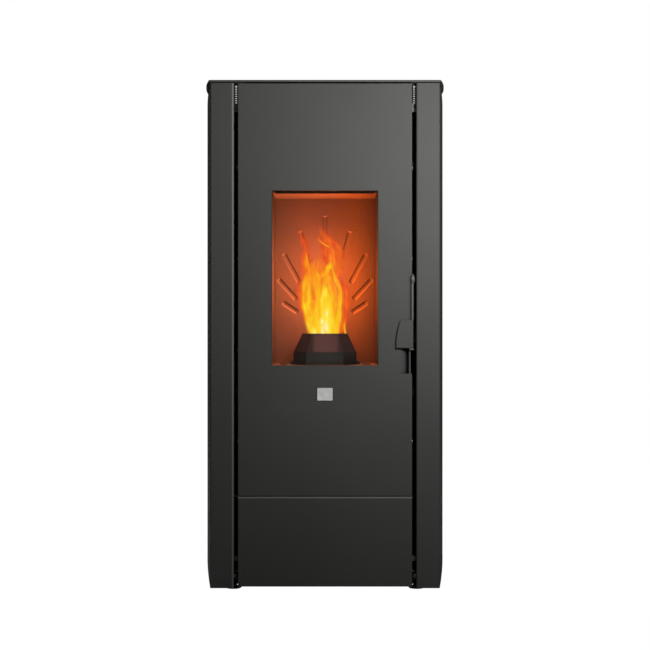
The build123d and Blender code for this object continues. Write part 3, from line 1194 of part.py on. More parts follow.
def mains_inlet():
    """Inlet with its three pins and the opening for the rocker switch."""
    half_w, half_h = MAINS_W / 2 - 4.2, MAINS_H / 2 - 4.2
    body = block(INLET_X - half_w, INLET_X + half_w, WALL_D - 26, CASE_D, MAINS_Z - half_h, MAINS_Z + half_h)
    flange = block(INLET_X - MAINS_W / 2, INLET_X + MAINS_W / 2, CASE_D, CASE_D + 2.5,
                   MAINS_Z - MAINS_H / 2, MAINS_Z + MAINS_H / 2)
    flange = fillet(flange.edges().filter_by(Axis.Y), 4)
    body += flange
    socket_z = MAINS_Z - 10.5
    socket = block(INLET_X - 12, INLET_X + 12, CASE_D - 15, CASE_D + 3, socket_z - 8, socket_z + 8)
    body -= chamfer(socket.edges().filter_by(Axis.Y).sort_by(Axis.Z)[-2:], 4)
    for x, z in ((-7, -1.2), (0, 2.8), (7, -1.2)):
        body += block(INLET_X + x - 1, INLET_X + x + 1, CASE_D - 16, CASE_D - 1,
                      socket_z + z - 2, socket_z + z + 2)
    z = rocker_centre_z()
    half_rw, half_rh = ROCKER_W / 2 + ROCKER_GAP, ROCKER_H / 2 + 2 * ROCKER_GAP
    body -= block(INLET_X - half_rw, INLET_X + half_rw, CASE_D - 12, CASE_D + 3, z - half_rh, z + half_rh)
    return body - rod_across(CASE_D - 3, z, INLET_X - half_rw - 3, INLET_X + half_rw + 3, 1.5 + HINGE_FIT)


def mains_rocker():
    """Rocker of the mains switch, at rest pressed in at its top."""
    z = rocker_centre_z()
    half_h = ROCKER_H / 2
    face = make_face(Polyline((-6, -half_h + 1), (3, -half_h), (5, -half_h), (3.6, 0), (5, half_h),
                              (3, half_h), (-6, half_h - 1), (-6, -half_h + 1)))
    profile = Plane.YZ * face
    rocker = extrude(profile, amount=ROCKER_W / 2, both=True)
    rocker += Rot(0, 90, 0) * Cylinder(1.5, ROCKER_W + 2 * ROCKER_GAP + 4)
    return Pos(INLET_X, FRONT_Y + CASE_D - 3, z) * Rot(ROCKER_TILT, 0, 0) * rocker


# ================================================================ write every sub-part
def left_right(shape):
    """Right-hand shape and its left-hand twin, for two separate nodes."""
    return shape, mirror(shape, about=Plane.YZ)


right_side, left_side = left_right(side_panel())

NODES = {
    "right_side_panel": right_side,
    "left_side_panel": left_side,
    "rear_panel": rear_panel(),
    "top_deck": top_deck(),
    "top_front_plate": top_front_plate(),
    "control_display": control_display(),
    "hopper_lid": hopper_lid(),
    "lid_hinge_brackets": lid_hinge_brackets(),
    "lid_hinge_pins": lid_hinge_pins(),
    "base_plate": base_plate(),
    "chassis_posts": chassis_posts(),
    "levelling_feet": levelling_feet(),
    "foot_lock_nuts": foot_lock_nuts(),
    "slot_hanger_bolts": slot_hanger_bolts(),
    "slot_hanger_brackets": slot_hanger_brackets(),
    "slot_foot_brackets": slot_foot_brackets(),
    "door_skin": door_skin(),
    "door_frame": door_frame(),
    "door_glass": door_glass(),
    "glass_tape": glass_tape(),
    "door_rope_gasket": door_rope_gasket(),
    "door_edge_screws": door_edge_screws(),
    "door_hinge_pins": door_hinge_pins(),
    "door_hinge_bracket": door_hinge_bracket(),
    "handle_pocket": handle_pocket(),
    "badge_plate": badge_plate(),
    "handle_bearings": handle_bearings(),
    "handle_rod": handle_rod(),
    "handle_plate": handle_plate(),
    "latch_hook": latch_hook(),
    "latch_keeper": latch_keeper(),
    "firebox_front_frame": firebox_front_frame(),
    "firebox_shell": firebox_shell(),
    "side_liners": side_liners(),
    "back_plate": back_plate(),
    "baffle_plate": baffle_plate(),
    "firebox_floor": firebox_floor(),
    "pot_holder": pot_holder(),
    "burn_pot": burn_pot(),
    "igniter": igniter(),
    "ash_chute": ash_chute(),
    "ash_drawer_front": ash_drawer_front(),
    "ash_pan": ash_pan(),
    "drawer_runners": drawer_runners(),
    "hopper": hopper(),
    "auger_tube": auger_tube(),
    "auger_screw": auger_screw(),
    "gear_motor": gear_motor(),
    "smoke_passage": smoke_passage(),
    "exhaust_fan_housing": exhaust_fan_housing(),
    "exhaust_impeller": exhaust_impeller(),
    "exhaust_motor": exhaust_motor(),
    "flue_pipe": flue_pipe(),
    "air_intake_pipe": air_intake_pipe(),
    "blower_housing": blower_housing(),
    "blower_drum": blower_drum(),
    "blower_motor": blower_motor(),
    "control_box": control_box(),
    "mains_inlet": mains_inlet(),
    "mains_rocker": mains_rocker(),
}

os.makedirs("parts", exist_ok=True)
for name, pieces in NODES.items():
    solids = pieces if isinstance(pieces, list) else [pieces]
    shape = solids[0] if len(solids) == 1 else Compound(children=solids)
    export_step(shape, f"parts/{name}.step")
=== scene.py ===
import json
import math
import random

import bmesh
import bpy
from mathutils import Matrix, Vector, noise


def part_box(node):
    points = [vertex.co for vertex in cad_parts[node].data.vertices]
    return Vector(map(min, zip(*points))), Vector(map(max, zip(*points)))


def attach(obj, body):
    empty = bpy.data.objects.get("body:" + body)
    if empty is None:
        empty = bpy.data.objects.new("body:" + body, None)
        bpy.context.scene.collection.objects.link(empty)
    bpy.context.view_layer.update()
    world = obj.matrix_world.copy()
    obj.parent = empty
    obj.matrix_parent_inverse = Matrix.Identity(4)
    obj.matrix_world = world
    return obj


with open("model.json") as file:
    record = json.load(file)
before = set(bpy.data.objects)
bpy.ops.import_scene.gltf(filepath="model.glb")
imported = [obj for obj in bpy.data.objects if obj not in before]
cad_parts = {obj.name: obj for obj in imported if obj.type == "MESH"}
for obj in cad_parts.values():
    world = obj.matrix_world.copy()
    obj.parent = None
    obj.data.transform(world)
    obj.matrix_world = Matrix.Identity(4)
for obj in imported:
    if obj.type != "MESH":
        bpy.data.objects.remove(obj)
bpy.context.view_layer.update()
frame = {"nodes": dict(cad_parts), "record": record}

# ------------------------------------------------------------------ sizes, in metres
MM = 0.001
DOOR_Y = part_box("door_skin")[0].y                 # face of the door
POT_LOW, POT_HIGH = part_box("burn_pot")
POT_KNEE_Z = POT_LOW.z + 28.5 * MM                # where the pot's upright foot ends
POT_MOUTH_HALF = 51.3 * MM                        # half width of the pot's mouth
FLAME_Y = POT_HIGH.y - POT_MOUTH_HALF             # middle of the pot's mouth
FIRE_MIDDLE_Z = 0.64                              # height that the grooves fan out from, and that the painted fire light on their walls falls from
CHAMBER_HALF = (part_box("back_plate")[1].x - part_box("back_plate")[0].x) / 2
STRIP_INNER_X = -200 * MM                         # inner bend of the left front strip

EYE_DISTANCE = 2.8                                # camera to door face
EYE_Z = 0.5774                                    # camera height
FRAME_WIDTH = 1.421                               # width of the picture at the door face
SENSOR_MM = 36.0

# ------------------------------------------------------------------ colours, linear
ANTHRACITE = (0.055, 0.056, 0.053)
BLACK_PAINT = (0.012, 0.012, 0.012)
FIRE_PLATE = (0.13, 0.09, 0.072)
FIRE_PLATE_LEFT = (0.145, 0.088, 0.066)           # greyer left side, painted neutral light
FIRE_PLATE_MIDDLE = (0.160, 0.080, 0.052)
FIRE_PLATE_RIGHT = (0.172, 0.076, 0.022)          # deeper orange right side
POT_IRON = (0.047, 0.026, 0.025)
POT_PAINTED_FIRE_LIGHT = (0.175, 0.080, 0.073)                   # painted fire light on the middle of the pot's front
# painted shade on the pot's foot, lighter on its front
POT_FOOT = (0.012, 0.012, 0.011)
POT_FOOT_FRONT = (0.024, 0.024, 0.021)
SOOT = (0.004, 0.004, 0.004)
ZINC = (0.55, 0.55, 0.54)
FIRE_LIGHT = (1.0, 0.28, 0.08)

# ------------------------------------------------------------------ studio
FILL = 0.03                                       # even light of the studio
GLOSS_FRONT = 0.6                                 # share of the white studio that gloss picks up
GLOSS_BEHIND = 0.03
FLOOR_WHITE = 1.075                               # brightness of the floor as the camera sees it
FLOOR_WHITE_SHARE = 0.93                          # the rest takes shadow
FLOOR_GREY = (0.3, 0.3, 0.3, 1)
FLOOR_SIZE = 14.0
BRIGHT_ROOM = (0.1, -0.75, 0.65)                  # direction of the bright room from the bolts, for their painted reflection

# ------------------------------------------------------------------ fire
FLAME_SEED = 11
FLAME_SHEETS = ((0.0, 1.0), (75.0, 0.55))         # turn in degrees, share of the cover
EMBER_SEED = 7
EMBER_COUNT = 60
EMBER_SIDES = 8
EMBER_RADIUS = 3 * MM
EMBER_LENGTH = (10, 18)                           # shortest and longest, in millimetres
FIRE_LAMP_RADIUS = 0.05


# ------------------------------------------------------------------ node helpers
def start_material(name):
    """New node material, its tree and its Principled shader."""
    material = bpy.data.materials.new(name)
    material.use_nodes = True
    return material, material.node_tree, material.node_tree.nodes["Principled BSDF"]


def add_node(tree, kind, **inputs):
    """Node of that kind with some of its inputs set by name."""
    node = tree.nodes.new(kind)
    for key, value in inputs.items():
        node.inputs[key.replace("_", " ")].default_value = value
    return node


def feed(tree, socket, value):
    """Links a socket to another one, or sets its number."""
    if isinstance(value, bpy.types.NodeSocket):
        tree.links.new(value, socket)
    else:
        socket.default_value = value


def maths(tree, operation, *values):
    """One step of arithmetic on sockets or numbers."""
    node = tree.nodes.new("ShaderNodeMath")
    node.operation = operation
    for socket, value in zip(node.inputs, values):
        feed(tree, socket, value)
    return node.outputs[0]


def vector_maths(tree, operation, first, second=None):
    """One step of vector arithmetic."""
    node = tree.nodes.new("ShaderNodeVectorMath")
    node.operation = operation
    feed(tree, node.inputs[0], first)
    if second is not None:
        feed(tree, node.inputs["Scale" if operation == "SCALE" else 1], second)
    return node.outputs["Value" if operation == "DOT_PRODUCT" else "Vector"]


def map_range(tree, value, from_low, from_high, to_low=0.0, to_high=1.0, kind="LINEAR"):
    """Number carried from one span to another and held within it."""
    node = add_node(tree, "ShaderNodeMapRange", From_Min=from_low, From_Max=from_high,
                    To_Min=to_low, To_Max=to_high)
    node.interpolation_type = kind
    tree.links.new(value, node.inputs["Value"])
    return node.outputs["Result"]


def spread(tree, value, low, high):
    """Noise, which stays near 0.5, stretched to run from low to high."""
    return map_range(tree, value, 0.3, 0.7, low, high)


def mixed(tree, first, second, share, blend="MIX"):
    """Second colour over the first, or multiplied with it, by a share."""
    node = tree.nodes.new("ShaderNodeMix")
    node.data_type = "RGBA"
    node.blend_type = blend
    feed(tree, node.inputs[0], share)
    feed(tree, node.inputs[6], first)
    feed(tree, node.inputs[7], second)
    return node.outputs[2]


def ramp(tree, value, stops):
    """Colour ramp through (position, colour) stops."""
    node = tree.nodes.new("ShaderNodeValToRGB")
    elements = node.color_ramp.elements
    while len(elements) > 1:
        elements.remove(elements[-1])
    for index, (position, colour) in enumerate(stops):
        element = elements[0] if index == 0 else elements.new(position)
        element.position = position
        element.color = tuple(colour) + (1.0,)
    tree.links.new(value, node.inputs["Fac"])
    return node.outputs["Color"]


def object_coordinates(tree, scale=(1, 1, 1)):
    """Metric coordinates of the piece itself, stretched by scale."""
    source = tree.nodes.new("ShaderNodeTexCoord")
    mapping = tree.nodes.new("ShaderNodeMapping")
    mapping.inputs["Scale"].default_value = scale
    tree.links.new(source.outputs["Object"], mapping.inputs["Vector"])
    return mapping.outputs["Vector"]


def coordinate(tree, axis, kind="Object"):
    """One coordinate of the piece itself, or of the view into the world."""
    source = tree.nodes.new("ShaderNodeTexCoord")
    parts = tree.nodes.new("ShaderNodeSeparateXYZ")
    tree.links.new(source.outputs[kind], parts.inputs[0])
    return parts.outputs[axis]


def slab(tree, axis, low, high):
    """1 where the piece's own coordinate on that axis lies between low and high, else 0."""
    return maths(tree, "COMPARE", coordinate(tree, axis), (low + high) / 2, (high - low) / 2)


def soft_band(tree, axis, middle, half, soft):
    """1 near the middle of a band on the piece's own axis, easing to 0 at its edges."""
    away = maths(tree, "ABSOLUTE", maths(tree, "SUBTRACT", coordinate(tree, axis), middle))
    return map_range(tree, away, half + soft / 2, half - soft / 2, kind="SMOOTHSTEP")


def noise_texture(tree, vector, scale, detail=3.0, roughness=0.5):
    """Grey noise."""
    texture = add_node(tree, "ShaderNodeTexNoise", Scale=scale, Detail=detail, Roughness=roughness)
    tree.links.new(vector, texture.inputs["Vector"])
    return texture.outputs["Fac"]


def add_bump(tree, shader, height, strength, distance):
    """Bump from a grey height."""
    bump = add_node(tree, "ShaderNodeBump", Strength=strength, Distance=distance)
    tree.links.new(height, bump.inputs["Height"])
    tree.links.new(bump.outputs["Normal"], shader.inputs["Normal"])


def base_below(shader):
    """Socket that gives the shader its base colour so far."""
    return shader.inputs["Base Color"].links[0].from_socket


def painted_over(tree, shader, mask, colour):
    """Base colour covered with another one where the mask is 1."""
    over = mixed(tree, base_below(shader), tuple(colour) + (1.0,), mask)
    tree.links.new(over, shader.inputs["Base Color"])


def painted_contact_shade(tree, shader, distance):
    """Painted contact shade: base colour made darker where another surface is close by."""
    node = tree.nodes.new("ShaderNodeAmbientOcclusion")
    node.samples = 16
    node.inputs["Distance"].default_value = distance
    tree.links.new(base_below(shader), node.inputs["Color"])
    tree.links.new(node.outputs["Color"], shader.inputs["Base Color"])


def shade(colour, factor):
    """Colour made lighter or darker."""
    return tuple(min(1.0, channel * factor) for channel in colour)


# ------------------------------------------------------------------ kinds of material
def paint(name, colour, roughness=0.6, specular=0.05, grain=1400.0, depth=0.00003, contact=0.0):
    """Powder-coated sheet: fine grain, faint cloudiness, painted contact shade in its corners if
    asked.
    """
    material, tree, shader = start_material(name)
    vector = object_coordinates(tree)
    fine = noise_texture(tree, vector, grain, 2.0)
    cloud = noise_texture(tree, vector, 5.0, 4.0)
    colours = ramp(tree, cloud, [(0.3, shade(colour, 0.96)), (0.7, shade(colour, 1.04))])
    tree.links.new(colours, shader.inputs["Base Color"])
    tree.links.new(spread(tree, fine, roughness - 0.04, roughness + 0.04),
                   shader.inputs["Roughness"])
    shader.inputs["Specular IOR Level"].default_value = specular
    add_bump(tree, shader, fine, 0.25, depth)
    # painted shade: darker base colour where other surfaces are near
    if contact:
        painted_contact_shade(tree, shader, contact)
    return material


def metal(name, colour, roughness, stretch=(1, 1, 1), grain=300.0, depth=0.00004):
    """Plain metal with a grain that can run along one axis."""
    material, tree, shader = start_material(name)
    vector = object_coordinates(tree, stretch)
    fine = noise_texture(tree, vector, grain, 4.0)
    patches = noise_texture(tree, object_coordinates(tree), 40.0, 3.0)
    colours = ramp(tree, patches, [(0.3, shade(colour, 0.82)), (0.7, shade(colour, 1.12))])
    tree.links.new(colours, shader.inputs["Base Color"])
    tree.links.new(spread(tree, fine, roughness - 0.08, roughness + 0.1),
                   shader.inputs["Roughness"])
    shader.inputs["Metallic"].default_value = 1.0
    add_bump(tree, shader, fine, 0.2, depth)
    return material


def cast_plate(name, colour, roughness=0.75, specular=0.2):
    """Cast or pressed refractory plate: coarse grain and uneven soot."""
    material, tree, shader = start_material(name)
    vector = object_coordinates(tree)
    coarse = noise_texture(tree, vector, 260.0, 5.0, 0.65)
    soot = noise_texture(tree, vector, 9.0, 4.0)
    colours = ramp(tree, soot, [(0.25, shade(colour, 0.78)), (0.5, colour),
                                (0.75, shade(colour, 1.12))])
    tree.links.new(colours, shader.inputs["Base Color"])
    tree.links.new(spread(tree, coarse, roughness - 0.1, roughness + 0.1),
                   shader.inputs["Roughness"])
    shader.inputs["Specular IOR Level"].default_value = specular
    add_bump(tree, shader, coarse, 0.3, 0.0003)
    return material


def painted_fire_light_by_facing(tree):
    """Painted fire light and shade: more than 1 on groove walls that face the fire, less than 1 on
    those that face away.
    """
    source = tree.nodes.new("ShaderNodeTexCoord")
    inward = vector_maths(tree, "SUBTRACT", (0.0, 0.0, FIRE_MIDDLE_Z), source.outputs["Object"])
    flat = vector_maths(tree, "MULTIPLY", inward, (1.0, 0.0, 1.0))
    facing = vector_maths(tree, "DOT_PRODUCT", vector_maths(tree, "NORMALIZE", flat),
                          source.outputs["Normal"])
    away = map_range(tree, facing, -0.5, 0.0, 0.65, 1.0)
    towards = map_range(tree, facing, 0.0, 0.5, 1.0, 1.9)
    return maths(tree, "MULTIPLY", away, towards)


def chamber_plate(name, factor=1.0, right_factor=1.0, grooved=False):
    """Plate of the fire chamber: greyer on its left as painted neutral light, deeper orange and
    darker towards its right edge, uneven soot.

    factor: how light it is; right_factor: the same for its orange right side alone; grooved:
    painted fire light and shade on the walls of its grooves.
    """
    material, tree, shader = start_material(name)
    vector = object_coordinates(tree)
    # painted neutral light on the left of the plate; darker towards its right edge
    across = map_range(tree, coordinate(tree, "X"), -CHAMBER_HALF, CHAMBER_HALF)
    right = shade(FIRE_PLATE_RIGHT, factor * right_factor)
    painted_haze_and_tone_across = ramp(tree, across, [
        (0.0, shade(FIRE_PLATE_LEFT, factor)), (0.5, shade(FIRE_PLATE_MIDDLE, factor)),
        (0.82, right), (0.90, shade(right, 0.84)), (0.97, shade(right, 0.68)),
        (1.0, shade(right, 0.6))])
    coarse = noise_texture(tree, vector, 45.0, 3.0)
    soot = noise_texture(tree, vector, 9.0, 4.0)
    uneven = ramp(tree, soot, [(0.25, (0.85, 0.85, 0.85)), (0.5, (1.0, 1.0, 1.0))])
    colour = mixed(tree, painted_haze_and_tone_across, uneven, 1.0, blend="MULTIPLY")
    # painted fire light on groove walls facing the fire, painted shade on the others
    if grooved:
        colour = vector_maths(tree, "SCALE", colour, painted_fire_light_by_facing(tree))
    tree.links.new(colour, shader.inputs["Base Color"])
    tree.links.new(spread(tree, coarse, 0.72, 0.82), shader.inputs["Roughness"])
    shader.inputs["Specular IOR Level"].default_value = 0.1
    add_bump(tree, shader, coarse, 0.2, 0.0003)
    return material


def plastic(name, colour, roughness):
    """Moulded plastic with a fine eroded grain."""
    material, tree, shader = start_material(name)
    fine = noise_texture(tree, object_coordinates(tree), 1800.0, 2.0)
    colours = ramp(tree, fine, [(0.3, shade(colour, 0.85)), (0.7, shade(colour, 1.15))])
    tree.links.new(colours, shader.inputs["Base Color"])
    shader.inputs["Roughness"].default_value = roughness
    shader.inputs["Specular IOR Level"].default_value = 0.3
    add_bump(tree, shader, fine, 0.3, 0.00004)
    return material


def braided(name, colour):
    """Black glass-fibre rope and tape, with a small diagonal weave."""
    material, tree, shader = start_material(name)
    wave = add_node(tree, "ShaderNodeTexWave", Scale=220.0, Distortion=1.5)
    wave.bands_direction = "DIAGONAL"
    tree.links.new(object_coordinates(tree), wave.inputs["Vector"])
    colours = ramp(tree, wave.outputs["Fac"], [(0.0, shade(colour, 0.5)),
                                               (1.0, shade(colour, 1.6))])
    tree.links.new(colours, shader.inputs["Base Color"])
    shader.inputs["Roughness"].default_value = 0.9
    shader.inputs["Specular IOR Level"].default_value = 0.15
    add_bump(tree, shader, wave.outputs["Fac"], 0.6, 0.0004)
    return material


def clear_glass(name):
    """Ceramic pane: clear, with a faint uneven warm tint and a weak reflection."""
    material, tree, shader = start_material(name)
    smear = noise_texture(tree, object_coordinates(tree), 14.0, 4.0)
    tint = ramp(tree, smear, [(0.3, (0.98, 0.962, 0.935)), (0.7, (1.0, 0.99, 0.97))])
    tree.links.new(tint, shader.inputs["Base Color"])
    shader.inputs["Roughness"].default_value = 0.0
    shader.inputs["Transmission Weight"].default_value = 1.0
    shader.inputs["IOR"].default_value = 1.12
    return material


def display_glass(name):
    """Black gloss glass of the touch display."""
    material, tree, shader = start_material(name)
    dust = noise_texture(tree, object_coordinates(tree), 90.0, 5.0)
    tree.links.new(spread(tree, dust, 0.05, 0.14), shader.inputs["Roughness"])
    colours = ramp(tree, dust, [(0.3, (0.006, 0.006, 0.007)), (0.7, (0.009, 0.009, 0.010))])
    tree.links.new(colours, shader.inputs["Base Color"])
    return material


def only_glows(shader):
    """The shader gives light and reflects none."""
    shader.inputs["Emission Strength"].default_value = 1.0
    shader.inputs["Base Color"].default_value = (0.0, 0.0, 0.0, 1.0)
    shader.inputs["Specular IOR Level"].default_value = 0.0
    shader.inputs["Roughness"].default_value = 1.0


# ------------------------------------------------------------------ materials of the pieces
MATERIALS = {
    # anthracite and handle paint carry painted contact shade within 8 mm of nearby surfaces
    "anthracite_paint": paint("anthracite_paint", ANTHRACITE, contact=0.008),
    "black_paint": paint("black_paint", BLACK_PAINT, specular=0.15),
    "handle_metal": paint("handle_metal", shade(ANTHRACITE, 0.9), roughness=0.42, specular=0.35,
                          contact=0.008),
    "foot_steel": paint("foot_steel", (0.006, 0.006, 0.006), roughness=0.5),
    "motor_black": paint("motor_black", (0.02, 0.02, 0.02), roughness=0.4, specular=0.4),
    "zinc_steel": metal("zinc_steel", ZINC, 0.34),
    "badge_metal": metal("badge_metal", (0.78, 0.78, 0.75), 0.38, stretch=(0.05, 1, 1),
                         grain=900.0),
    "cast_aluminium": metal("cast_aluminium", (0.5, 0.5, 0.5), 0.55, grain=220.0, depth=0.0003),
    "firebox_iron": cast_plate("firebox_iron", FIRE_PLATE),
    "ceramic_glass": clear_glass("ceramic_glass"),
    "display_glass": display_glass("display_glass"),
    "gasket_fibre": braided("gasket_fibre", (0.03, 0.03, 0.03)),
    "black_plastic": plastic("black_plastic", (0.02, 0.02, 0.02), 0.45),
}
# slot bolts: far lighter than the zinc of other hardware, painted light in the slots' shade
BOLT_MATERIAL = metal("bright_zinc", (0.92, 0.92, 0.90), 0.25)
BAFFLE_MATERIAL = chamber_plate("baffle_iron", factor=1.5)
# brackets and nuts in the slots: anthracite made lighter, painted light where the slots hold shade
BRACKET_MATERIAL = paint("bracket_paint", shade(ANTHRACITE, 1.8), roughness=0.5, specular=0.3)
DRAWER_MATERIAL = paint("drawer_paint", ANTHRACITE)
PANEL_MATERIAL = paint("panel_paint", ANTHRACITE)
POT_MATERIAL = cast_plate("pot_iron", POT_IRON, roughness=0.6, specular=0.3)

OWN_MATERIAL = {   # pieces that look unlike the rest of their slot
    "ash_drawer_front": DRAWER_MATERIAL,
    "back_plate": chamber_plate("back_plate_iron", grooved=True),
    "baffle_plate": BAFFLE_MATERIAL,
    "burn_pot": POT_MATERIAL,
    "door_edge_screws": metal("dark_screws", (0.12, 0.12, 0.115), 0.4),
    "door_frame": paint("door_frame_paint", BLACK_PAINT, specular=0.12),
    "firebox_shell": paint("sooty_steel", (0.01, 0.009, 0.008), roughness=0.8),
    "foot_lock_nuts": BRACKET_MATERIAL,
    "left_side_panel": PANEL_MATERIAL,
    "right_side_panel": PANEL_MATERIAL,
    # side liners: the chamber plate made darker, painted shade, more so on their right
    "side_liners": chamber_plate("liner_iron", factor=0.47, right_factor=0.8),
    "slot_foot_brackets": BRACKET_MATERIAL,
    "slot_hanger_bolts": BOLT_MATERIAL,
    "slot_hanger_brackets": BRACKET_MATERIAL,
    # top deck: black paint, which also stands in for the shade in the gap under the top plate
    "top_deck": paint("deck_paint", BLACK_PAINT),
}


def inside(material):
    """Tree and shader of a material."""
    return material.node_tree, material.node_tree.nodes["Principled BSDF"]


def blacken_baffle_edge():
    """Soot on the front edge of the baffle and just behind it, short of its two ends."""
    tree, shader = inside(BAFFLE_MATERIAL)
    front = slab(tree, "Y", DOOR_Y, DOOR_Y + 103 * MM)
    ends = slab(tree, "X", -112 * MM, 112 * MM)
    painted_over(tree, shader, maths(tree, "MULTIPLY", front, ends), SOOT)


def paint_drawer_bevel_highlight():
    """Painted highlight on the sloping upper edge of the drawer front, where it would catch the
    light of the room.
    """
    tree, shader = inside(DRAWER_MATERIAL)
    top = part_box("ash_drawer_front")[1].z
    slope = slab(tree, "Z", top - 4.7 * MM, top + 1 * MM)
    painted_over(tree, shader, slope, shade(ANTHRACITE, 2.4))


def paint_strip_bend_highlight():
    """Painted highlight on the inner bend of the left front strip, where it would catch the light
    of the room.
    """
    tree, shader = inside(PANEL_MATERIAL)
    bend = slab(tree, "X", STRIP_INNER_X - 3.6 * MM, STRIP_INNER_X + 0.5 * MM)
    painted_over(tree, shader, bend, shade(ANTHRACITE, 2.3))


def paint_pot_light_and_shade():
    """Painted fire light on the middle of the pot's front, painted shade on its foot, less on the
    foot's front.
    """
    tree, shader = inside(POT_MATERIAL)
    foot = slab(tree, "Z", POT_LOW.z - 1 * MM, POT_KNEE_Z)
    upper = slab(tree, "Z", POT_KNEE_Z, POT_HIGH.z + 1 * MM)
    foot_front = soft_band(tree, "X", 0.0, 34 * MM, 20 * MM)
    upper_front = soft_band(tree, "X", 2 * MM, 27 * MM, 16 * MM)
    painted_over(tree, shader, foot, POT_FOOT)
    painted_over(tree, shader, maths(tree, "MULTIPLY", foot, foot_front), POT_FOOT_FRONT)
    painted_over(tree, shader, maths(tree, "MULTIPLY", upper, upper_front), POT_PAINTED_FIRE_LIGHT)


def paint_bolt_reflections():
    """Painted reflection on the slot bolts: their upper, outer faces glow as if mirroring the
    bright room.
    """
    tree, shader = inside(BOLT_MATERIAL)
    source = tree.nodes.new("ShaderNodeTexCoord")
    facing = vector_maths(tree, "DOT_PRODUCT", source.outputs["Normal"], BRIGHT_ROOM)
    mirror = ramp(tree, facing, [(0.55, (0.0, 0.0, 0.0)), (0.95, (0.42, 0.42, 0.41))])
    tree.links.new(mirror, shader.inputs["Emission Color"])
    shader.inputs["Emission Strength"].default_value = 1.0


def dress_cad_nodes():
    """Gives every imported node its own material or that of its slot."""
    slots = {row["node"]: row["material_slot"] for row in frame["record"]["subparts"]}
    for name, piece in frame["nodes"].items():
        piece.data.materials.clear()
        piece.data.materials.append(OWN_MATERIAL.get(name, MATERIALS[slots[name]]))


def add_piece(name, mesh, material, smooth=False):
    """Blender piece made from a finished mesh."""
    data = bpy.data.meshes.new(name)
    mesh.to_mesh(data)
    mesh.free()
    data.materials.append(material)
    for face in data.polygons:
        face.use_smooth = smooth
    piece = bpy.data.objects.new(name, data)
    bpy.context.scene.collection.objects.link(piece)
    return piece


# ------------------------------------------------------------------ flame
def along(points, t):
    """Catmull-Rom curve through rows of numbers, t from 0 to 1."""
    span = t * (len(points) - 1)
    index = min(int(span), len(points) - 2)
    u = span - index
    last = len(points) - 1
    a, b, c, d = (points[max(0, min(last, index + k))] for k in (-1, 0, 1, 2))
    return [0.5 * (2 * q + (r - p) * u + (2 * p - 5 * q + 4 * r - s) * u * u
                   + (3 * q - p - 3 * r + s) * u ** 3) for p, q, r, s in zip(a, b, c, d)]


def flame_material():
    """Glow whose colour follows the heat of the gas and whose edges fade out."""
    material, tree, shader = start_material("flame")
    values = tree.nodes.new("ShaderNodeVertexColor")
    values.layer_name = "gas"
    parts = tree.nodes.new("ShaderNodeSeparateColor")
    tree.links.new(values.outputs["Color"], parts.inputs[0])
    streaks = noise_texture(tree, object_coordinates(tree, (1.0, 1.0, 0.4)), 70.0, 4.0, 0.6)
    heat = maths(tree, "ADD", parts.outputs["Red"], spread(tree, streaks, -0.16, 0.16))
    colours = ramp(tree, heat, [
        (0.0, (0.50, 0.030, 0.006)), (0.2, (0.82, 0.075, 0.012)), (0.4, (0.95, 0.20, 0.010)),
        (0.58, (1.0, 0.40, 0.010)), (0.75, (1.0, 0.62, 0.012)), (0.88, (1.0, 0.80, 0.06)),
        (1.0, (1.0, 0.97, 0.62))])
    cover = maths(tree, "MULTIPLY", parts.outputs["Green"], spread(tree, streaks, 0.72, 1.1))
    tree.links.new(colours, shader.inputs["Emission Color"])
    tree.links.new(cover, shader.inputs["Alpha"])
    only_glows(shader)
    return material


def fade(value):
    """Smooth step from 0 to 1."""
    value = max(0.0, min(1.0, value))
    return value * value * (3 - 2 * value)


def add_tongue(mesh, gas, spine, back, heat, cover, soft, rings=36, sides=12):
    """One tongue of flame as crossed sheets of gas.

    spine: (x, z, half width) in millimetres; back: shift to the rear; heat: at foot and tip;
    cover: how much it hides; soft: how wide its edges fade.
    """
    for turn, share in FLAME_SHEETS:
        cos_turn, sin_turn = math.cos(math.radians(turn)), math.sin(math.radians(turn))
        loops = []
        for ring in range(rings + 1):
            t = ring / rings
            x, z, half = along(spine, t)
            half = max(half, 0.4)
            loop = []
            for side in range(sides + 1):
                u = 2.0 * side / sides - 1.0
                depth = back + u * half * sin_turn * 0.8 + 6 * u * u
                place = Vector((x + u * half * cos_turn, depth, z))
                ripple = noise.noise_vector(place * 0.05) * min(half, 8.0) * 0.5 * min(1.0, 3 * t)
                place += Vector((ripple.x, ripple.y, ripple.z * 0.6))
                vert = mesh.verts.new((place.x * MM, FLAME_Y + place.y * MM, place.z * MM))
                across = fade((1.0 - abs(u)) / (0.75 * soft))
                tip = fade((1.0 - t) / 0.35) * fade((t + 0.04) / 0.05)
                hot = heat[0] + (heat[1] - heat[0]) * t - 0.22 * (1.0 - across)
                vert[gas] = (max(0.0, hot), cover * across * tip * share, 0.0, 1.0)
                loop.append(vert)
            loops.append(loop)
        for low, high in zip(loops, loops[1:]):
            for side in range(sides):
                mesh.faces.new((low[side], low[side + 1], high[side + 1], high[side]))


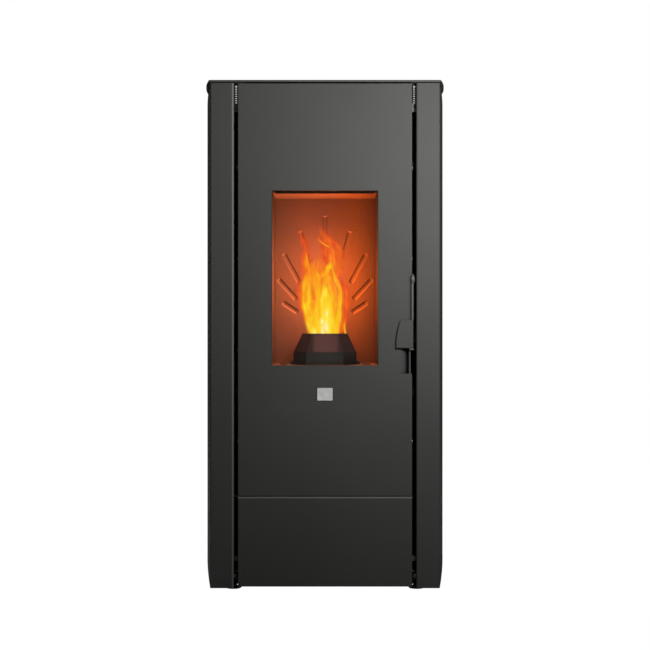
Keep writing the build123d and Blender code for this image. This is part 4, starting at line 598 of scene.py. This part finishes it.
TONGUES = [   # spine, shift to the rear, heat at foot and tip, cover, softness
    ([(-25, 635, 20), (-44, 681, 17), (-44, 722, 18), (-44, 746, 17),
      (-48, 768, 14), (-54, 786, 10), (-58, 804, 4)], 6, (0.32, 0.12), 0.75, 1.3),
    ([(-30, 594, 20), (-44, 635, 18), (-41, 681, 15), (-40, 709, 11),
      (-42, 732, 8), (-45, 750, 5), (-47, 768, 2)], -4, (0.62, 0.36), 0.9, 1.1),
    ([(-37, 693, 4), (-38, 713, 5), (-42, 732, 3.5), (-45, 748, 1.2)],
     -14, (0.62, 0.52), 0.7, 1.2),
    ([(14, 690, 24), (18, 713, 28), (19, 735, 29), (14, 755, 28),
      (6, 772, 24), (-4, 790, 15), (-12, 810, 5)], 8, (0.42, 0.26), 0.85, 1.3),
    ([(8, 700, 22), (6, 722, 24), (3, 742, 22), (-1, 760, 16), (-6, 778, 8)],
     12, (0.26, 0.2), 0.55, 1.4),
    ([(26, 690, 18), (34, 718, 16), (35, 741, 15), (28, 759, 13),
      (16, 771, 10), (2, 778, 3)], 3, (0.36, 0.28), 0.6, 1.3),
    ([(10, 756, 3), (3, 760, 6), (-5, 765, 7), (-12, 772, 5), (-15, 783, 2)],
     -10, (0.58, 0.5), 0.8, 1.2),
    ([(36, 559, 13), (44, 594, 13), (47, 624, 13), (45, 653, 12),
      (39, 677, 9), (28, 693, 2)], 4, (0.3, 0.18), 0.9, 1.1),
    ([(-32, 577, 13), (-49, 612, 13), (-57, 644, 12), (-55, 672, 11), (-47, 693, 7)],
     6, (0.36, 0.26), 0.8, 1.2),
    ([(0, 538, 37), (-2, 580, 42), (-5, 621, 49), (-8, 658, 50),
      (-12, 688, 38), (-14, 718, 25), (-12, 740, 6)], 10, (0.80, 0.40), 1.0, 0.7),
    ([(0, 538, 35), (0, 575, 40), (-2, 612, 37), (-2, 642, 25), (-1, 670, 8)],
     4, (0.84, 0.7), 1.0, 0.9),
    ([(-18, 538, 18), (-33, 580, 16), (-41, 621, 15), (-44, 658, 14),
      (-39, 693, 12), (-31, 713, 8), (-26, 726, 2)], -8, (0.84, 0.42), 0.95, 0.9),
    ([(-4, 538, 23), (-9, 584, 23), (-13, 626, 19), (-15, 658, 15),
      (-19, 686, 13), (-23, 706, 8), (-22, 724, 2)], -12, (0.8, 0.48), 0.9, 1.1),
    ([(22, 538, 14), (30, 580, 11), (34, 621, 10), (35, 653, 9),
      (26, 681, 8), (18, 702, 6), (14, 722, 2)], -6, (0.78, 0.5), 0.9, 1.0),
    ([(-6, 672, 5), (-1, 688, 9), (6, 702, 11), (12, 714, 9), (16, 727, 3)],
     -16, (0.62, 0.8), 0.95, 1.0),
    ([(23, 674, 2.5), (20, 694, 3), (17, 710, 2.6), (14, 724, 1.2)],
     -20, (0.72, 0.7), 0.85, 1.3),
    ([(3, 538, 25), (3, 584, 27), (1, 626, 22), (0, 650, 15),
      (-1, 668, 9), (-1, 682, 2)], -18, (0.82, 0.70), 1.0, 1.1),
    ([(42, 538, 4), (46, 556, 5), (45, 574, 4), (43, 592, 1.5)], -22, (0.74, 0.62), 0.85, 1.2),
    ([(-44, 628, 3), (-42, 643, 7), (-41, 660, 7), (-43, 674, 2)], -26, (0.5, 0.5), 0.6, 1.3),
    ([(22, 598, 3), (24, 616, 6), (22, 634, 6), (19, 650, 2)], -26, (0.56, 0.52), 0.6, 1.3),
    ([(-8, 668, 3), (-6, 677, 5), (-2, 686, 4), (2, 692, 1)], -26, (0.4, 0.4), 0.6, 1.3),
    ([(-3, 540, 16), (-3, 568, 14), (-4, 590, 10), (-6, 610, 6), (-7, 628, 2)],
     -24, (1.06, 0.9), 1.0, 1.3),
]


def make_flame():
    """The fire in the pot: sheets of gas from red outside to white in the middle."""
    noise.seed_set(FLAME_SEED)
    mesh = bmesh.new()
    gas = mesh.verts.layers.float_color.new("gas")
    for spine, back, heat, cover, soft in TONGUES:
        add_tongue(mesh, gas, spine, back, heat, cover, soft)
    piece = add_piece("flame", mesh, flame_material(), smooth=True)
    piece.visible_diffuse = piece.visible_glossy = False     # the fire lamps light the chamber
    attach(piece, "burn_pot")


def ember_material():
    """Glow of the embers, from nearly black to yellow."""
    material, tree, shader = start_material("ember_glow")
    patches = noise_texture(tree, object_coordinates(tree), 120.0, 4.0, 0.6)
    colours = ramp(tree, patches, [(0.35, (0.06, 0.008, 0.002)), (0.55, (0.9, 0.16, 0.01)),
                                   (0.75, (1.0, 0.5, 0.06))])
    tree.links.new(colours, shader.inputs["Emission Color"])
    only_glows(shader)
    return material


def make_embers():
    """Pellets that glow in the bottom of the pot."""
    pick = random.Random(EMBER_SEED)
    mesh = bmesh.new()
    floor_z = POT_LOW.z + 10 * MM
    reach = 42 * MM
    while len(mesh.faces) < EMBER_COUNT * (EMBER_SIDES + 2):
        x, y = pick.uniform(-reach, reach), pick.uniform(-reach, reach)
        if math.hypot(x, y) > reach:
            continue
        place = Matrix.Translation((x, FLAME_Y - 12 * MM + y, floor_z + pick.uniform(0, 14 * MM)))
        turn = Matrix.Rotation(pick.uniform(0, math.pi), 4, "Z") @ Matrix.Rotation(
            math.radians(pick.uniform(65, 115)), 4, "X")
        bmesh.ops.create_cone(mesh, cap_ends=True, segments=EMBER_SIDES, radius1=EMBER_RADIUS,
                              radius2=EMBER_RADIUS, depth=pick.uniform(*EMBER_LENGTH) * MM,
                              matrix=place @ turn)
    piece = add_piece("embers", mesh, ember_material())
    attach(piece, "burn_pot")


# ------------------------------------------------------------------ small fasteners on the back
def add_screw_head(mesh, x, y, z, radius=3.6 * MM, height=2.2 * MM, sides=20):
    """Pan head that stands out to the rear."""
    profile = ((radius * 0.55, height * 0.9), (radius * 0.9, height * 0.5), (radius, 0.0))
    rings = [[mesh.verts.new((x + r * math.cos(2 * math.pi * k / sides), y + h,
                              z + r * math.sin(2 * math.pi * k / sides))) for k in range(sides)]
             for r, h in profile]
    centre = mesh.verts.new((x, y + height * 0.7, z))
    for k in range(sides):
        after = (k + 1) % sides
        mesh.faces.new((rings[0][k], rings[0][after], centre))
        for inner, outer in zip(rings, rings[1:]):
            mesh.faces.new((inner[k], outer[k], outer[after], inner[after]))
    mesh.faces.new(rings[-1])


def make_rear_screws(rows=7, inset=9 * MM):
    """Pan-head screws down both sides of the rear panel."""
    low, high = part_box("rear_panel")
    mesh = bmesh.new()
    for row in range(rows):
        z = low.z + inset + (high.z - low.z - 2 * inset) * row / (rows - 1)
        for x in (low.x + 1.6 * inset, high.x - 1.6 * inset):
            add_screw_head(mesh, x, high.y, z)
    bmesh.ops.recalc_face_normals(mesh, faces=mesh.faces)
    piece = add_piece("rear_screws", mesh, MATERIALS["zinc_steel"], smooth=True)
    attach(piece, "casing")


# ------------------------------------------------------------------ lights, floor, camera
def add_light(name, kind, place, energy, size, colour=(1, 1, 1), aim=None):
    """Lamp at a place, an area lamp facing its aim. The camera doesn't see the lamp itself."""
    data = bpy.data.lights.new(name, kind)
    data.energy = energy
    data.color = colour
    if kind == "AREA":
        data.shape = "RECTANGLE"
        data.size = data.size_y = size
        data.spread = math.radians(180)
    else:
        data.shadow_soft_size = size
    lamp = bpy.data.objects.new(name, data)
    bpy.context.scene.collection.objects.link(lamp)
    lamp.location = place
    lamp.visible_camera = lamp.visible_transmission = False
    if aim is not None:
        lamp.rotation_euler = (Vector(aim) - Vector(place)).to_track_quat("-Z", "Y").to_euler()
    return lamp


def leave_dark(lamp, piece):
    """The lamp leaves this piece out."""
    group = bpy.data.collections.new(lamp.name + "_leaves_out")
    group.objects.link(piece)
    lamp.light_linking.receiver_collection = group
    group.collection_objects[0].light_linking.link_state = "EXCLUDE"


STUDIO_LAMPS = [   # name, place, watts, size, aim, seen in gloss
    ("key", (0.396, DOOR_Y - 0.805, 0.928), 17.0, 0.2, (0.522, DOOR_Y, 1.207), True),
    ("front", (0.0, DOOR_Y - EYE_DISTANCE, EYE_Z), 3.6, 0.3, (0.0, DOOR_Y, EYE_Z), False),
    ("rear", (-0.9, DOOR_Y + 2.3, 1.9), 80.0, 0.6, (0.0, DOOR_Y + 0.5, 0.65), False),
]
FIRE_LAMPS = [   # name, place, watts
    ("fire_low", (0.0, FLAME_Y - 0.01, 0.63), 0.93),
    ("fire_high", (0.0, FLAME_Y - 0.01, 0.74), 0.46),
    ("fire_front", (0.0, FLAME_Y - 0.07, 0.69), 3.2),
]


def make_lights():
    """Soft key from the upper right, a low front light, one behind, and the light of the fire."""
    for name, place, watts, size, aim, in_gloss in STUDIO_LAMPS:
        lamp = add_light(name, "AREA", place, watts, size, aim=aim)
        lamp.visible_glossy = in_gloss
    for name, place, watts in FIRE_LAMPS:
        lamp = add_light(name, "POINT", place, watts, FIRE_LAMP_RADIUS, FIRE_LIGHT)
        leave_dark(lamp, frame["nodes"]["burn_pot"])


def seen_share(tree, gloss):
    """1 for what is seen, also through glass; the given share for gloss; 0 for falling light."""
    path = tree.nodes.new("ShaderNodeLightPath")
    in_gloss = maths(tree, "MULTIPLY", path.outputs["Is Glossy Ray"], gloss)
    direct = maths(tree, "LESS_THAN", path.outputs["Diffuse Depth"], 0.5)
    through = maths(tree, "MULTIPLY", path.outputs["Is Transmission Ray"], direct)
    seen = maths(tree, "MAXIMUM", path.outputs["Is Camera Ray"], through)
    return maths(tree, "MAXIMUM", in_gloss, seen)


def front_gloss(tree):
    """Gloss picks up the bright room in front of the stove and little from behind it."""
    return map_range(tree, coordinate(tree, "Y", "Generated"), 0.0, -0.8,
                     GLOSS_BEHIND, GLOSS_FRONT)


def show_mix(tree, output_kind, share, first, second):
    """Puts out two shaders mixed by a share."""
    mix = tree.nodes.new("ShaderNodeMixShader")
    output = tree.nodes.new(output_kind)
    tree.links.new(share, mix.inputs["Fac"])
    tree.links.new(first.outputs[0], mix.inputs[1])
    tree.links.new(second.outputs[0], mix.inputs[2])
    tree.links.new(mix.outputs[0], output.inputs["Surface"])


def make_world():
    """White studio to look at, and a low even light from it."""
    world = bpy.data.worlds.new("studio")
    bpy.context.scene.world = world
    world.use_nodes = True
    tree = world.node_tree
    tree.nodes.clear()
    fill = add_node(tree, "ShaderNodeBackground", Color=(1, 1, 1, 1), Strength=FILL)
    white = add_node(tree, "ShaderNodeBackground", Color=(1, 1, 1, 1), Strength=1.0)
    show_mix(tree, "ShaderNodeOutputWorld", seen_share(tree, front_gloss(tree)), fill, white)


def make_floor():
    """Pale floor that shows white and keeps a faint shadow."""
    bpy.ops.mesh.primitive_grid_add(x_subdivisions=8, y_subdivisions=8, size=FLOOR_SIZE)
    floor = bpy.context.object
    floor.name = "floor"
    material = bpy.data.materials.new("floor_white")
    material.use_nodes = True
    tree = material.node_tree
    tree.nodes.clear()
    lit = add_node(tree, "ShaderNodeBsdfDiffuse", Color=FLOOR_GREY)
    white = add_node(tree, "ShaderNodeEmission", Color=(1, 1, 1, 1), Strength=FLOOR_WHITE)
    share = maths(tree, "MULTIPLY", seen_share(tree, GLOSS_BEHIND), FLOOR_WHITE_SHARE)
    show_mix(tree, "ShaderNodeOutputMaterial", share, lit, white)
    floor.data.materials.append(material)


def make_camera():
    """Level camera straight in front of the door."""
    data = bpy.data.cameras.new("camera")
    data.sensor_width = SENSOR_MM
    data.lens = SENSOR_MM * EYE_DISTANCE / FRAME_WIDTH
    data.dof.use_dof = False
    camera = bpy.data.objects.new("camera", data)
    camera.location = (0.0, DOOR_Y - EYE_DISTANCE, EYE_Z)
    camera.rotation_euler = (math.radians(90), 0, 0)
    bpy.context.scene.collection.objects.link(camera)
    bpy.context.scene.camera = camera


blacken_baffle_edge()
paint_drawer_bevel_highlight()
paint_strip_bend_highlight()
paint_pot_light_and_shade()
paint_bolt_reflections()
dress_cad_nodes()
make_flame()
make_embers()
make_rear_screws()
make_lights()
make_world()
make_floor()
make_camera()
bpy.context.scene.view_settings.view_transform = "Standard"
